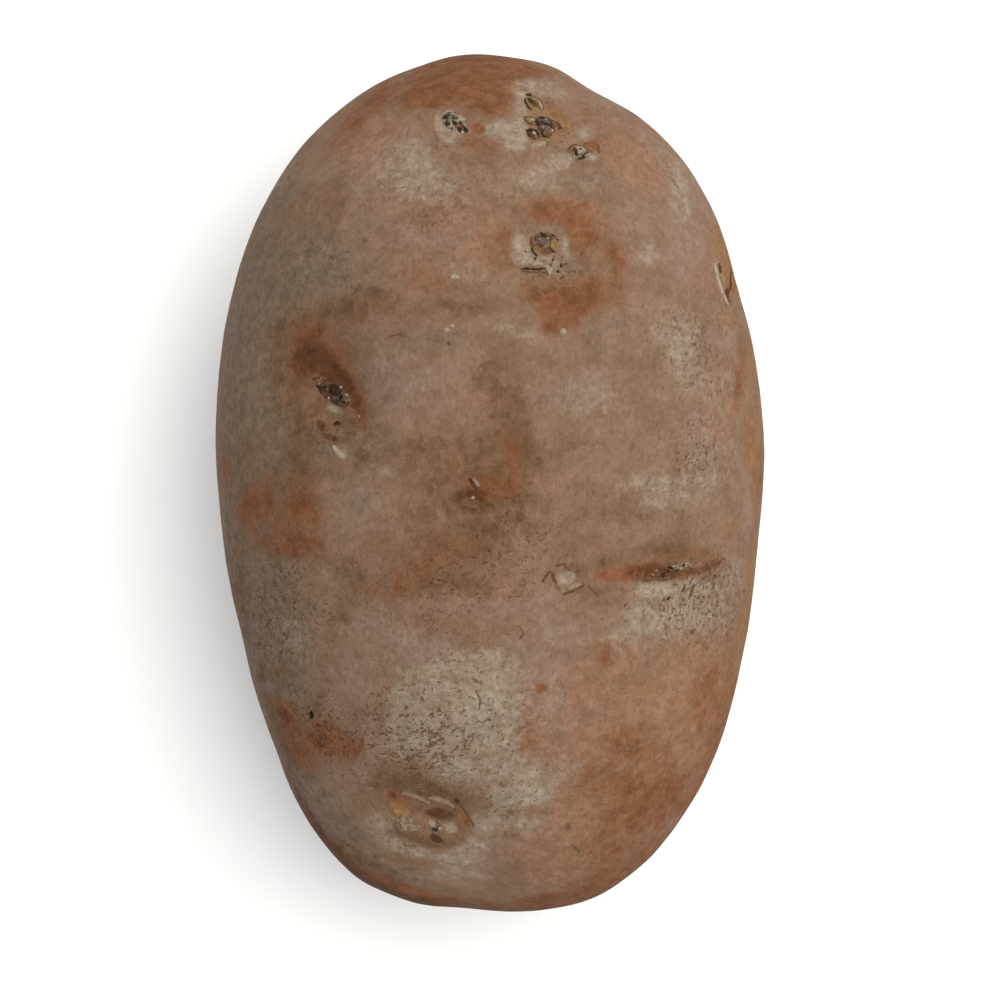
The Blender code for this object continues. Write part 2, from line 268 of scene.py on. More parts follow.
# Soft patches on the side that the photograph shows, paint by paint, placed and sized in its pixels:
# x, y, half the length, half the width, strength, and the turn in degrees where it isn't 0. The last
# ones are no paint, but say how rough the skin is with flakes and pits.
Patch = namedtuple("Patch", "x y long wide strength turn", defaults=[0])
PATCHES = {
    "lilac": [
        (370, 165, 40, 44, 0.8), (385, 300, 40, 26, 0.2), (385, 120, 30, 16, 0.4, 20),
        (390, 378, 24, 38, 0.8), (430, 385, 36, 30, 0.6), (360, 505, 44, 20, 0.5, 90),
        (370, 620, 30, 24, 0.5), (420, 650, 40, 20, 0.9), (400, 235, 40, 30, 0.4),
        (345, 680, 44, 28, 0.6, 75), (372, 740, 46, 14, 0.6, 90), (340, 790, 40, 30, 0.5),
        (558, 632, 30, 16, 0.8), (548, 680, 44, 34, 0.9), (590, 700, 30, 20, 0.6), (515, 850, 50, 20, 0.6),
        (470, 872, 60, 14, 0.5), (640, 150, 40, 30, 0.2), (610, 112, 40, 14, 0.4, -30),
        (590, 390, 50, 40, 0.5), (560, 740, 50, 40, 0.5), (565, 800, 30, 30, 0.5), (540, 600, 40, 20, 0.5),
        (690, 250, 30, 50, 0.7), (460, 240, 26, 40, 0.7), (640, 230, 30, 40, 0.4), (490, 340, 30, 40, 0.2),
        (700, 440, 26, 60, 0.6), (720, 340, 20, 30, 0.6), (749, 500, 60, 8, 0.6, 88),
        (616, 742, 22, 14, 0.5), (640, 670, 40, 30, 0.4), (490, 610, 30, 20, 0.6), (560, 850, 30, 26, 0.7),
        (625, 640, 30, 30, 0.4),
    ],
    "grey": [
        # Rows along the left edge and the lower left rim are partly the skin's own grey and partly painted
        # shade on the flank away from the light.
        (365, 240, 50, 20, 0.3, 90), (310, 270, 60, 40, 0.4), (262, 252, 50, 22, 0.5, 70),
        (286, 190, 34, 14, 0.6, 55), (246, 325, 60, 24, 0.8, 82), (236, 410, 70, 22, 0.9, 90),
        (232, 520, 60, 14, 0.9, 92), (244, 575, 44, 20, 0.9, 96), (262, 615, 40, 30, 0.9, 100),
        (268, 668, 36, 22, 0.9, 105), (256, 640, 60, 16, 0.6, 104), (325, 262, 26, 34, 0.6),
        (400, 330, 40, 14, 0.3), (356, 432, 34, 20, 0.9), (280, 430, 50, 18, 0.8, 90),
        (276, 356, 44, 13, 0.6, 86), (290, 290, 60, 20, 0.5, 70), (482, 522, 22, 12, 0.4),
        (300, 776, 50, 24, 0.7, -58), (348, 838, 50, 22, 0.8, -48), (404, 876, 50, 14, 0.6, -24),
        (240, 600, 60, 16, 0.8, 98), (355, 290, 40, 20, 0.4), (575, 575, 16, 12, 0.5),
        (655, 506, 24, 14, 0.5), (595, 735, 24, 26, 0.5), (620, 350, 40, 30, 0.35), (276, 560, 24, 30, 0.5),
        (355, 500, 30, 26, 0.5), (260, 500, 40, 24, 0.5, 90), (286, 680, 20, 30, 0.7),
        (440, 340, 40, 20, 0.4), (350, 590, 30, 30, 0.4), (605, 330, 24, 20, 0.4), (545, 395, 30, 40, 0.3),
        (280, 690, 30, 30, 0.7), (380, 455, 30, 20, 0.4), (590, 184, 30, 14, 0.6), (570, 268, 16, 9, 0.6),
        (600, 262, 12, 10, 0.4), (530, 194, 22, 13, 0.6), (290, 640, 60, 30, 0.5, 90),
        (315, 445, 30, 22, 0.6), (265, 400, 34, 22, 0.5, 90), (548, 848, 26, 16, 0.5),
    ],
    "blush": [
        (370, 140, 44, 46, 0.7, 40), (440, 205, 50, 30, 0.5), (480, 245, 26, 40, 0.5),
        (560, 210, 40, 16, 0.6), (630, 140, 50, 30, 0.3, -35), (585, 232, 14, 26, 0.8),
        (635, 165, 40, 22, 0.6, -35), (590, 690, 60, 34, 0.6), (460, 465, 50, 24, 0.5),
        (720, 410, 24, 60, 0.6), (640, 700, 80, 50, 0.35), (712, 262, 40, 18, 0.5, 84),
        (655, 768, 40, 28, 0.9), (520, 735, 30, 50, 0.6), (600, 800, 70, 60, 0.9), (560, 860, 60, 34, 0.7),
        (700, 690, 40, 60, 0.7, -20), (500, 590, 60, 20, 0.4), (540, 480, 60, 30, 0.3),
        (490, 400, 30, 40, 0.4), (430, 545, 60, 40, 0.2), (380, 860, 40, 20, 0.3, -30),
        (425, 280, 50, 26, 0.3), (640, 570, 60, 20, 0.4), (694, 738, 46, 24, 0.6, 60),
        (688, 680, 34, 24, 0.5, 70), (612, 745, 40, 30, 0.5), (625, 640, 30, 26, 0.5),
    ],
    "umber": [
        # Rows along the left edge and the lower rim, round the deep eye's hollow near (330, 390), above the
        # long brow and under the almond eye's lid are partly painted shade; the others are brown skin.
        (325, 318, 50, 20, 0.7, 10), (300, 366, 30, 13, 1.0, 84), (375, 302, 34, 14, 0.9),
        (462, 308, 40, 14, 0.7), (510, 410, 40, 18, 0.9, 95), (484, 375, 30, 20, 0.5, 90),
        (470, 586, 60, 14, 0.6), (528, 455, 24, 18, 0.9, 60), (498, 500, 34, 16, 0.9),
        (470, 540, 50, 28, 0.7), (440, 560, 36, 26, 0.5), (522, 525, 30, 16, 0.4), (600, 515, 22, 14, 0.5),
        (568, 530, 20, 16, 0.4), (650, 362, 20, 20, 0.4), (572, 442, 12, 9, 0.5, -30),
        (632, 446, 16, 8, 0.4, 90), (395, 775, 34, 22, 0.6), (350, 572, 20, 22, 0.7),
        (336, 622, 20, 18, 0.7), (320, 700, 24, 10, 0.5, 80), (446, 476, 40, 26, 0.7),
        (482, 440, 34, 24, 0.6), (425, 520, 30, 22, 0.5), (300, 440, 50, 16, 0.8, 90),
        (320, 475, 24, 16, 0.4), (325, 404, 24, 14, 0.9, -30), (280, 360, 40, 14, 0.6, 90),
        (365, 462, 30, 12, 0.6), (590, 778, 18, 14, 0.6), (282, 718, 34, 18, 0.9, -60),
        (345, 432, 20, 12, 0.7), (628, 628, 20, 22, 0.45), (338, 210, 44, 12, 0.5, 85),
        (400, 336, 22, 6, 0.6), (570, 570, 22, 16, 0.4), (500, 458, 34, 18, 0.6), (572, 466, 40, 12, 0.35),
        (450, 505, 28, 14, 0.5), (505, 520, 34, 14, 0.45), (238, 590, 56, 12, 0.7, 97),
        (245, 470, 90, 26, 0.35, 92), (290, 495, 50, 22, 0.4, 90), (285, 372, 40, 13, 0.5, 88),
        (640, 516, 28, 15, 0.5), (556, 128, 13, 9, 0.5, -20), (310, 770, 40, 20, 0.3, -58),
        (357, 396, 32, 10, 0.9, -68), (420, 625, 30, 20, 0.4), (420, 205, 30, 20, 0.35),
        (515, 868, 50, 18, 0.35), (376, 440, 24, 20, 0.35), (430, 225, 34, 14, 0.35),
        (664, 552, 34, 11, 0.8, 6), (612, 562, 24, 9, 0.5), (690, 556, 30, 9, 0.6, 10),
        (425, 788, 44, 9, 0.8, -6), (410, 832, 30, 14, 0.4, -20), (372, 874, 50, 15, 1.0, -38),
        (330, 850, 34, 9, 0.8, -54), (428, 446, 40, 18, 0.5), (482, 478, 26, 14, 0.6),
        (385, 402, 18, 14, 0.4), (420, 800, 44, 16, 0.95, -16), (424, 836, 28, 12, 0.8, -16),
        (462, 828, 14, 14, 0.6), (402, 800, 18, 10, 0.8, -34), (366, 590, 14, 8, 0.5),
        (332, 430, 18, 12, 0.9), (585, 262, 16, 8, 0.4), (284, 672, 12, 14, 0.6), (300, 408, 26, 12, 0.45),
        (500, 210, 24, 14, 0.4), (590, 590, 36, 22, 0.5), (292, 372, 30, 12, 0.5, 84),
        (450, 290, 30, 12, 0.3),
    ],
    "russet": [
        # Rows in the deep eye's hollow, beside the long brow's fold and along the lower rim are partly
        # painted shade; the others are russet skin.
        (480, 72, 70, 22, 1.0), (475, 60, 60, 9, 1.0), (432, 92, 34, 20, 0.9, 20), (488, 98, 26, 20, 0.9),
        (378, 98, 30, 14, 0.6, 38), (350, 128, 34, 16, 0.5, 50), (476, 142, 26, 12, 0.6, -20),
        (425, 268, 44, 30, 0.4), (432, 286, 20, 7, 0.3), (625, 130, 40, 30, 0.25, -30),
        (470, 225, 20, 14, 0.2, 90), (552, 208, 36, 14, 0.6), (584, 122, 16, 22, 0.35),
        (505, 238, 20, 13, 0.5, 80), (586, 236, 24, 16, 0.9, 80), (562, 221, 18, 9, 0.6),
        (614, 262, 34, 16, 0.65, 90), (500, 260, 16, 14, 0.5), (572, 302, 38, 20, 1.0, 5),
        (555, 325, 20, 14, 0.5), (535, 290, 22, 12, 0.5), (742, 370, 50, 9, 0.6, 84),
        (756, 470, 56, 8, 0.6, 90), (728, 745, 40, 12, 0.5, 64), (734, 268, 40, 11, 1.0, 76),
        (702, 695, 34, 20, 0.4, 70), (632, 744, 30, 18, 0.25), (226, 465, 36, 9, 0.5, 92),
        (270, 500, 40, 9, 0.5, 85), (660, 225, 24, 14, 0.3, 80), (325, 205, 30, 12, 0.3, 85),
        (320, 352, 34, 24, 1.0, -52), (336, 378, 28, 14, 1.0, -52), (356, 408, 20, 9, 0.9, -65),
        (298, 372, 26, 12, 0.4, 84), (490, 488, 30, 14, 1.0), (514, 452, 34, 14, 0.6, 100),
        (295, 512, 36, 15, 0.9, 82), (314, 520, 30, 12, 0.6, 90), (252, 508, 28, 14, 0.95, 82),
        (290, 545, 40, 16, 0.7), (412, 572, 24, 14, 0.6), (396, 588, 36, 12, 0.6), (450, 548, 44, 24, 0.4),
        (640, 571, 26, 9, 1.0, 4), (615, 575, 18, 6, 0.8), (612, 548, 32, 12, 0.3, 5),
        (712, 563, 18, 9, 0.5, 16), (682, 553, 28, 8, 0.4, 6), (686, 573, 16, 5, 0.8, 8),
        (615, 645, 24, 15, 0.5), (635, 745, 32, 22, 0.5), (738, 702, 42, 9, 0.9, 76),
        (724, 752, 40, 10, 1.0, 64), (728, 722, 44, 20, 0.8, 66), (716, 268, 26, 10, 0.3, 84),
        (700, 796, 36, 10, 0.9, 56), (756, 620, 50, 7, 0.9, 84), (605, 650, 24, 12, 0.6, 80),
        (705, 690, 50, 20, 0.3, 68), (700, 622, 24, 20, 0.25), (625, 785, 30, 30, 0.55),
        (668, 788, 36, 22, 0.6, 45), (644, 812, 30, 22, 0.7, 30), (610, 845, 44, 24, 0.55, 24),
        (600, 884, 50, 14, 0.9, 20), (540, 688, 6, 6, 0.8), (286, 712, 17, 9, 1.0, -50),
        (590, 780, 24, 30, 0.3), (326, 736, 20, 16, 1.0, -20), (350, 750, 20, 12, 0.9),
        (302, 752, 30, 16, 0.6, -60), (522, 735, 22, 30, 0.5), (715, 375, 26, 16, 0.4, 90),
        (585, 288, 22, 14, 0.4), (730, 655, 30, 12, 0.25, 78), (352, 872, 50, 9, 0.8, -46),
        (312, 822, 44, 7, 0.6, -58), (396, 891, 40, 12, 0.9, -24), (660, 850, 40, 12, 0.6, 40),
        (440, 900, 50, 7, 0.9, -8), (540, 902, 60, 8, 0.9, 4), (738, 600, 40, 10, 0.4, 84),
    ],
    "scurf": [
        (412, 150, 24, 20, 0.6), (420, 178, 24, 20, 0.8), (385, 170, 28, 30, 0.4), (446, 188, 28, 22, 0.5),
        (502, 128, 22, 9, 1.0, 5), (516, 140, 12, 14, 1.0), (522, 108, 8, 18, 0.8), (530, 86, 18, 10, 0.7),
        (556, 92, 14, 9, 0.6, -20), (562, 160, 15, 8, 1.0, 10), (538, 178, 26, 13, 0.6),
        (590, 182, 26, 8, 0.3, 10), (585, 132, 8, 7, 0.8), (530, 336, 14, 10, 0.5), (502, 324, 16, 12, 0.5),
        (680, 350, 14, 16, 0.7), (655, 148, 44, 14, 0.35, -45), (325, 640, 24, 40, 0.25),
        (672, 330, 26, 34, 0.5), (475, 275, 20, 16, 0.4), (650, 255, 12, 14, 0.7),
        (682, 195, 34, 14, 0.7, 90), (590, 400, 40, 34, 0.5), (645, 482, 36, 12, 0.6),
        (660, 502, 22, 10, 0.5), (690, 490, 30, 20, 0.4), (382, 470, 20, 10, 0.4), (342, 454, 9, 9, 0.5),
        (292, 630, 30, 14, 0.4, 110), (720, 270, 10, 30, 0.5), (685, 588, 34, 8, 0.9),
        (642, 606, 16, 8, 0.8), (648, 622, 26, 13, 0.7), (690, 612, 34, 14, 0.6), (692, 616, 56, 32, 0.45),
        (736, 568, 34, 12, 0.4, 80), (435, 690, 28, 24, 0.8), (402, 706, 38, 18, 0.7, 90),
        (470, 666, 44, 14, 0.7, 12), (476, 716, 26, 20, 1.0, 90), (500, 700, 44, 20, 1.0, 90),
        (440, 732, 36, 26, 0.95), (402, 745, 18, 14, 0.6), (466, 770, 26, 16, 0.7),
        (502, 742, 36, 16, 0.9, 90), (450, 770, 28, 18, 0.3), (530, 792, 24, 15, 1.0),
        (506, 796, 16, 12, 1.0), (518, 770, 24, 13, 0.8), (490, 822, 20, 16, 0.8), (530, 822, 20, 10, 0.7),
        (380, 822, 15, 9, 0.8), (402, 846, 30, 8, 0.8, -20), (456, 856, 26, 9, 0.8),
        (474, 848, 18, 12, 0.6), (452, 874, 40, 10, 0.5), (650, 440, 40, 30, 0.2),
        (700, 380, 20, 40, 0.4, 90), (566, 576, 10, 7, 0.2), (545, 700, 34, 40, 0.4),
        (716, 440, 26, 60, 0.4), (696, 336, 14, 22, 0.25), (728, 335, 12, 34, 0.3),
        (288, 178, 30, 9, 0.35, 55), (560, 770, 40, 20, 0.4), (620, 640, 30, 20, 0.4),
        (400, 640, 16, 12, 0.3), (450, 660, 20, 16, 0.4),
    ],
    "ochre": [
        (727, 258, 38, 12, 1.0, 102), (690, 282, 24, 12, 0.3, 90), (752, 440, 56, 9, 0.7, 90),
        (728, 322, 16, 12, 0.5), (752, 350, 24, 7, 0.6, 82), (752, 572, 40, 7, 0.6, 85),
        (730, 530, 24, 12, 0.4, 84), (728, 690, 34, 9, 0.4, 74), (555, 113, 18, 9, 0.75, -38),
        (533, 126, 12, 13, 0.7), (564, 128, 12, 12, 0.5), (548, 138, 12, 5, 0.6), (640, 690, 30, 16, 0.3),
        (404, 812, 20, 12, 0.6, -35), (742, 630, 30, 8, 0.7, 80), (712, 752, 30, 9, 0.25, 62),
    ],
    "dark": [
        # Rows in the deep eye's hollow, by the long brow's fold, under the almond eye's lid and along the
        # lower rim are partly painted shade; the others are dark skin.
        (320, 354, 28, 17, 0.5, -54), (333, 379, 26, 12, 0.8, -50), (348, 389, 22, 9, 0.95, -62),
        (355, 408, 14, 7, 0.5, -66), (473, 500, 19, 11, 1.0, -10), (666, 573, 14, 8, 1.0, 10),
        (645, 570, 26, 8, 0.65, 4), (712, 565, 12, 6, 0.5, 16), (684, 571, 14, 4, 0.5, 8),
        (304, 364, 26, 12, 0.6, 80), (322, 738, 13, 9, 0.5, -30), (284, 712, 10, 5, 0.7, -50),
        (500, 480, 26, 14, 0.25, 60), (322, 324, 8, 14, 0.3, -20), (262, 674, 14, 8, 0.5, 80),
        (438, 812, 18, 7, 0.8, -8), (288, 752, 34, 9, 0.4, -66), (298, 791, 34, 6, 0.5, -62),
        (317, 828, 30, 7, 0.6, -57), (343, 861, 34, 8, 0.75, -48), (383, 891, 34, 9, 0.8, -32),
        (430, 906, 40, 10, 0.8, -12), (490, 914, 50, 10, 0.7), (560, 913, 50, 10, 0.7, 6),
        (612, 901, 36, 11, 0.7, 28), (649, 877, 34, 10, 0.7, 44), (684, 832, 34, 6, 0.4, 50),
        (468, 58, 70, 9, 0.4), (640, 866, 20, 8, 0.4, 44),
    ],
    "white": [
        # The row under the long brow at (655, 590) and those under the deep eye at (335, 408) and (307,
        # 399) are partly painted light on slopes that face the light; the others are pale skin.
        (655, 590, 20, 8, 1.0, 2), (521, 246, 9, 15, 0.65, 4), (530, 260, 18, 5, 0.6),
        (554, 264, 11, 8, 0.5, -10), (335, 408, 11, 6, 0.6, -24), (566, 247, 5, 14, 0.6, 8),
        (476, 708, 18, 14, 1.0, 90), (307, 399, 12, 8, 0.3), (594, 157, 7, 4, 0.7, 20),
        (530, 794, 20, 10, 0.9), (498, 128, 16, 6, 0.6, 5), (545, 229, 14, 5, 0.3),
        (495, 694, 24, 14, 0.8, 90), (522, 134, 9, 16, 0.6), (440, 692, 18, 12, 0.25),
        (538, 172, 18, 8, 0.4), (484, 736, 14, 10, 0.5),
    ],
    "rough": [
        (480, 715, 50, 56, 0.5), (415, 735, 60, 50, 0.9), (690, 612, 56, 38, 0.9), (718, 574, 34, 28, 0.8),
        (520, 790, 50, 30, 0.4), (330, 730, 50, 40, 0.8), (555, 262, 30, 18, 0.8), (290, 590, 40, 60, 0.6),
        (440, 590, 70, 40, 0.5), (695, 450, 26, 40, 0.8), (270, 640, 40, 60, 0.6), (690, 350, 40, 60, 0.5),
        (400, 820, 24, 20, 0.3), (325, 430, 30, 20, 0.4), (330, 270, 60, 40, 0.4), (440, 190, 60, 50, 0.4),
        (545, 130, 40, 40, 0.4), (520, 540, 60, 60, 0.4),
    ],
}

# How firm the edge of a patch and of a detail is.
SOFT_EDGE, FIRM_EDGE = 1.0, 2.5

# Firm details on that side, eye by eye, placed and sized in pixels too: paint, x, y, half the length,
# half the width, turn in degrees, height in millimetres and strength.
Detail = namedtuple("Detail", "paint x y long wide turn height strength", defaults=[0.0, 1.0])
DETAILS = {
    "ringed": [
        ("scurf", 451, 127, 16, 15, 0, 0.0, 0.9), ("grit", 455, 122, 15, 9, -34, 0.14),
        ("umber", 462, 129, 7, 5, -35, 0.0, 0.7), ("red", 463, 127, 4, 2, -35, 0.06),
        ("soot", 446.5, 118.5, 3.4, 2.8, 0, 0.08), ("soot", 448.5, 125, 3.0, 2.6, 30, 0.08),
        ("soot", 455.5, 124.5, 3.6, 2.4, -40, 0.08), ("soot", 461, 124, 2.4, 1.6, 0, 0.05),
        ("soot", 460.5, 130.5, 3.8, 2.6, -30, 0.08), ("soot", 466.5, 130.5, 2.6, 3.2, 0, 0.05),
        ("chalk", 451, 121.5, 1.5, 1.2, 0, 0.08), ("chalk", 463.5, 132.5, 1.4, 1.0, 0, 0.05),
        ("russet", 479, 129, 8, 6, 0, 0.0, 0.8),
    ],
    "rose_high": [
        ("amber", 535, 103, 11.5, 6.6, -40, 0.1), ("chalk", 541.5, 103.5, 6, 1.8, -62, 0.05),
        ("bark", 534.5, 103.5, 6, 3.2, -42), ("soot", 531.5, 101, 5, 2.4, -38, -0.05),
        ("bark", 540, 108, 2.4, 1.4, -45), ("soot", 529.5, 94.8, 4, 1.5, -5),
    ],
    "rose_main": [
        ("amber", 531.5, 120.3, 7.6, 3.6, -10, 0.1), ("chalk", 533, 120.5, 3, 1.6, -15, 0.04),
        ("soot", 546, 125.5, 12.4, 8.4, -27, 0.25), ("slate", 547, 122.3, 4.8, 2.0, -22, 0.05),
        ("slate", 548, 130, 4.6, 2.1, -28, 0.05), ("slate", 540.5, 121.5, 2, 1.6, 0, 0.04),
        ("red", 541, 126.5, 2.4, 1.8, 0), ("red", 554, 128, 2.6, 1.8, -30),
        ("soot", 549, 126.4, 5.4, 1.3, -26), ("chalk", 543.5, 129, 1.4, 1.0, 0, 0.04),
        ("chalk", 552.5, 131.5, 1.6, 1.1, -30, 0.04), ("chalk", 546.5, 120.8, 1.6, 1.0, 0, 0.04),
        ("bark", 557.3, 124.8, 5, 3.6, -28, 0.12), ("copper", 556, 123.5, 2.2, 1.2, -28),
        ("bark", 547.5, 135.8, 6, 2.8, 8, 0.05), ("amber", 549, 138.6, 5.5, 1.6, 8, 0.03),
    ],
    "rose_low": [
        ("red", 533.5, 134, 8, 5.4, -36, 0.12), ("soot", 531, 131, 3, 2, -36),
        ("chalk", 534.8, 133.8, 2.2, 1.3, -20, 0.06), ("slate", 536.8, 137, 2.2, 1.5, -30, 0.05),
        ("scurf", 540, 144, 8, 3, 10, 0.0, 0.8),
    ],
    "rose_right": [
        ("copper", 574, 148.3, 7.4, 4, 30, 0.06), ("copper", 591.5, 145.6, 9.6, 6.2, 10, 0.2),
        ("bark", 599, 148.5, 1.8, 4.6, 10), ("grit", 581.5, 153.5, 9.6, 7, -25, 0.2),
        ("soot", 575.5, 151.5, 4, 2.2, -45), ("soot", 577, 156, 2.4, 1.7, 0),
        ("soot", 582, 159, 4.6, 1.4, 8), ("soot", 580.5, 150.3, 1.8, 1.3, 0),
        ("soot", 585.5, 154.5, 1.7, 1.2, 0), ("bark", 573, 151.5, 1.8, 1.3, 0),
    ],
    "upper": [
        ("bark", 545, 243, 13.8, 12.4, 0, -0.05), ("amber", 555.5, 245, 4.6, 7.4, 14, 0.05, 0.8),
        ("bark", 532.2, 243, 2.5, 6.4, 6), ("red", 531.4, 243, 1.2, 4, 6),
        ("amber", 538.2, 249.2, 3, 4.6, 38, -0.03, 0.9), ("bark", 543.8, 241.4, 8.4, 8.0, 0, 0.1),
        ("red", 543.5, 242, 7, 6.6, 0), ("slate", 543.5, 242.4, 6, 5.6, 0, 0.2),
        ("red", 541.5, 246, 3.2, 1.6, -20), ("soot", 544.5, 236.8, 3.6, 2.6, 0),
        ("chalk", 539.4, 239.8, 1.2, 1.0, 0, 0.04), ("chalk", 548, 239.2, 1.1, 1.0, 0, 0.04),
        ("umber", 534, 269.6, 13, 2.2, 0, -0.1, 0.9), ("soot", 535.5, 258.6, 2.2, 1.1, 60, -0.05),
        ("soot", 553.5, 259, 1.8, 1.1, 30, -0.05), ("soot", 562, 264.5, 1.6, 2.6, 0, -0.08),
        ("soot", 558.8, 270.4, 2, 1.4, 0, -0.08), ("bark", 566, 263.4, 2.8, 1.1, 20, -0.05),
        ("bark", 545, 262.5, 1.8, 1.0, 0, -0.04), ("bark", 563, 277, 3.4, 1.8, 30),
        ("bark", 526, 251.5, 1.8, 0.9, -40, -0.04), ("bark", 551.5, 264, 1.4, 1.8, 0, -0.05),
    ],
    "deep": [
        ("red", 332.5, 392.5, 24, 9, -36, 0.12, 0.95), ("red", 318, 380, 7, 5, -40, 0.0, 0.8),
        ("char", 322, 385.5, 9, 5, -40, 0.12, 0.75), ("bark", 318, 382, 3.4, 2.4, -40, 0.05),
        ("char", 341, 398, 10, 6, -40, 0.1, 0.7), ("soot", 335.5, 390, 8.4, 6.4, -35, 0.05),
        ("slate", 347.5, 396.5, 4.4, 3.2, -60, 0.05), ("soot", 344, 402, 4, 2, -30),
        ("amber", 321.5, 383, 1.6, 1.1, 0, 0.05), ("chalk", 341.5, 386.5, 1.4, 1.0, 0, 0.05),
        ("chalk", 347, 394.3, 1.8, 0.9, -30, 0.05), ("chalk", 329, 397.5, 1.3, 0.9, 0, 0.05),
    ],
    "deep_under": [
        ("umber", 329, 431, 16, 11, -30, 0.08), ("dark", 322, 425, 8, 4.6, -45, 0.0, 0.9),
        ("bark", 329, 436, 6, 3.6, -40, -0.03), ("slate", 338, 430.5, 2.6, 3.8, -20, 0.08),
        ("slate", 324.5, 433, 2.2, 1.8, 0, 0.06), ("soot", 336.5, 422.5, 3.8, 2.3, 10, -0.15),
        ("red", 333.5, 438.5, 2.2, 3.4, -20, -0.1), ("bark", 327, 427, 3, 1.6, -50, -0.05),
        ("chalk", 338, 451.5, 9.6, 2.5, -52, 0.1), ("chalk", 359, 415, 1.6, 1.3, 0, 0.08),
        ("umber", 352, 412, 9, 6, -30, 0.0, 0.5),
    ],
    "middle": [
        ("umber", 472, 502, 12, 7, -10, 0.0, 0.5), ("chalk", 474, 497, 1.8, 1.6, 0, 0.1),
        ("russet", 498, 490, 14, 7, -30, 0.0, 0.5),
    ],
    "scar": [
        ("scurf", 566, 578, 11, 8, 15, 0.12, 0.65), ("scurf", 576, 587, 8, 4, 25, 0.05, 0.6),
    ],
    "long_brow": [
        # The red mark under the brow's middle is partly painted shade in its fold.
        ("red", 666, 573, 8.5, 5.2, 15, -0.22), ("soot", 664, 575.5, 3.4, 2.2, 30, -0.05),
        ("soot", 669, 571.5, 2.8, 1.8, 60, -0.03), ("meal", 683, 566, 10, 3.2, 8, 0.12, 0.8),
        ("soot", 671, 567.4, 3.6, 1.6, -15, -0.03), ("soot", 677.5, 570, 2.8, 1.3, 12, -0.03),
        ("soot", 684, 564.4, 2.8, 1.2, 30, -0.03), ("bark", 689.5, 567, 2.4, 1.3, 55, -0.03),
        ("bark", 697, 562.5, 2.2, 1.1, 30, -0.03), ("bark", 692, 558, 2, 1.0, 0, -0.03),
        ("chalk", 674, 565.7, 2.2, 1.0, 20, 0.06), ("chalk", 680.5, 567.3, 2, 1.0, 0, 0.06),
        ("chalk", 687.5, 562.8, 2, 0.9, 30, 0.06), ("chalk", 657, 570, 1.3, 0.9, 0, 0.05),
        ("chalk", 653, 574, 1.2, 0.8, 0, 0.05), ("bark", 659, 573, 3, 1.3, 30, -0.05),
        ("soot", 669, 598, 1.4, 2.2, -20, -0.1),
    ],
    "almond": [
        # The umber marks and the dark one at (439, 813.5) are partly painted shade under the upper lid.
        ("umber", 430, 808, 30, 12, -12, 0.0, 0.9), ("umber", 434, 832, 34, 12, -14, 0.0, 0.5),
        ("russet", 397, 799, 13, 5.5, -38), ("dark", 394, 796, 6, 3, -38, 0.0, 0.6),
        ("ochre", 402, 810, 13, 5, -38, 0.05, 0.6), ("meal", 407, 823, 14, 8, -18, 0.12, 0.8),
        ("meal", 410, 844, 8, 3.5, -10, 0.06, 0.8), ("dark", 439, 813.5, 16, 6, -8, -0.2, 0.85),
        ("dark", 457, 801, 2.8, 3.6, 10, -0.05, 0.9), ("scurf", 450.5, 827, 8.5, 5.6, -18, 0.1, 0.6),
        ("slate", 436, 825.5, 8, 6.2, -22, 0.15), ("scurf", 433, 822, 5, 3, -20, 0.05, 0.7),
        ("soot", 435.8, 828, 3.6, 2.9, -10, 0.05), ("chalk", 431, 820.4, 2.2, 1.3, 0, 0.05),
        ("chalk", 441, 826.5, 1.5, 1.0, 0, 0.04), ("russet", 465.5, 818, 14, 5, -55, 0.05, 0.6),
        ("dark", 436, 839, 9, 4, -30, -0.2), ("ochre", 437, 851, 9, 4, 10, 0.0, 0.35),
    ],
    "rim": [
        ("red", 727, 292, 2, 4, 0, -0.2), ("red", 720, 268, 1.6, 6, 8, -0.2),
    ],
    "skin": [
        ("chalk", 456, 277, 4.4, 2.6, 0, 0.15), ("chalk", 447, 330, 3.0, 2.2, 0, 0.15),
        ("chalk", 453, 326, 2.0, 1.6, 0, 0.12), ("dark", 449, 343, 2, 3, 20, -0.1, 0.7),
        ("scurf", 564, 331, 3.5, 3.5, 0, 0.3, 0.9), ("soot", 311, 716, 2.2, 4.4, 0, -0.5),
        ("russet", 542, 687, 6, 5, 0, 0.0, 0.8), ("umber", 568, 826, 4, 5, 0, -0.1, 0.6),
        ("umber", 511, 811, 5, 4, 0, 0.0, 0.5),
    ],
}

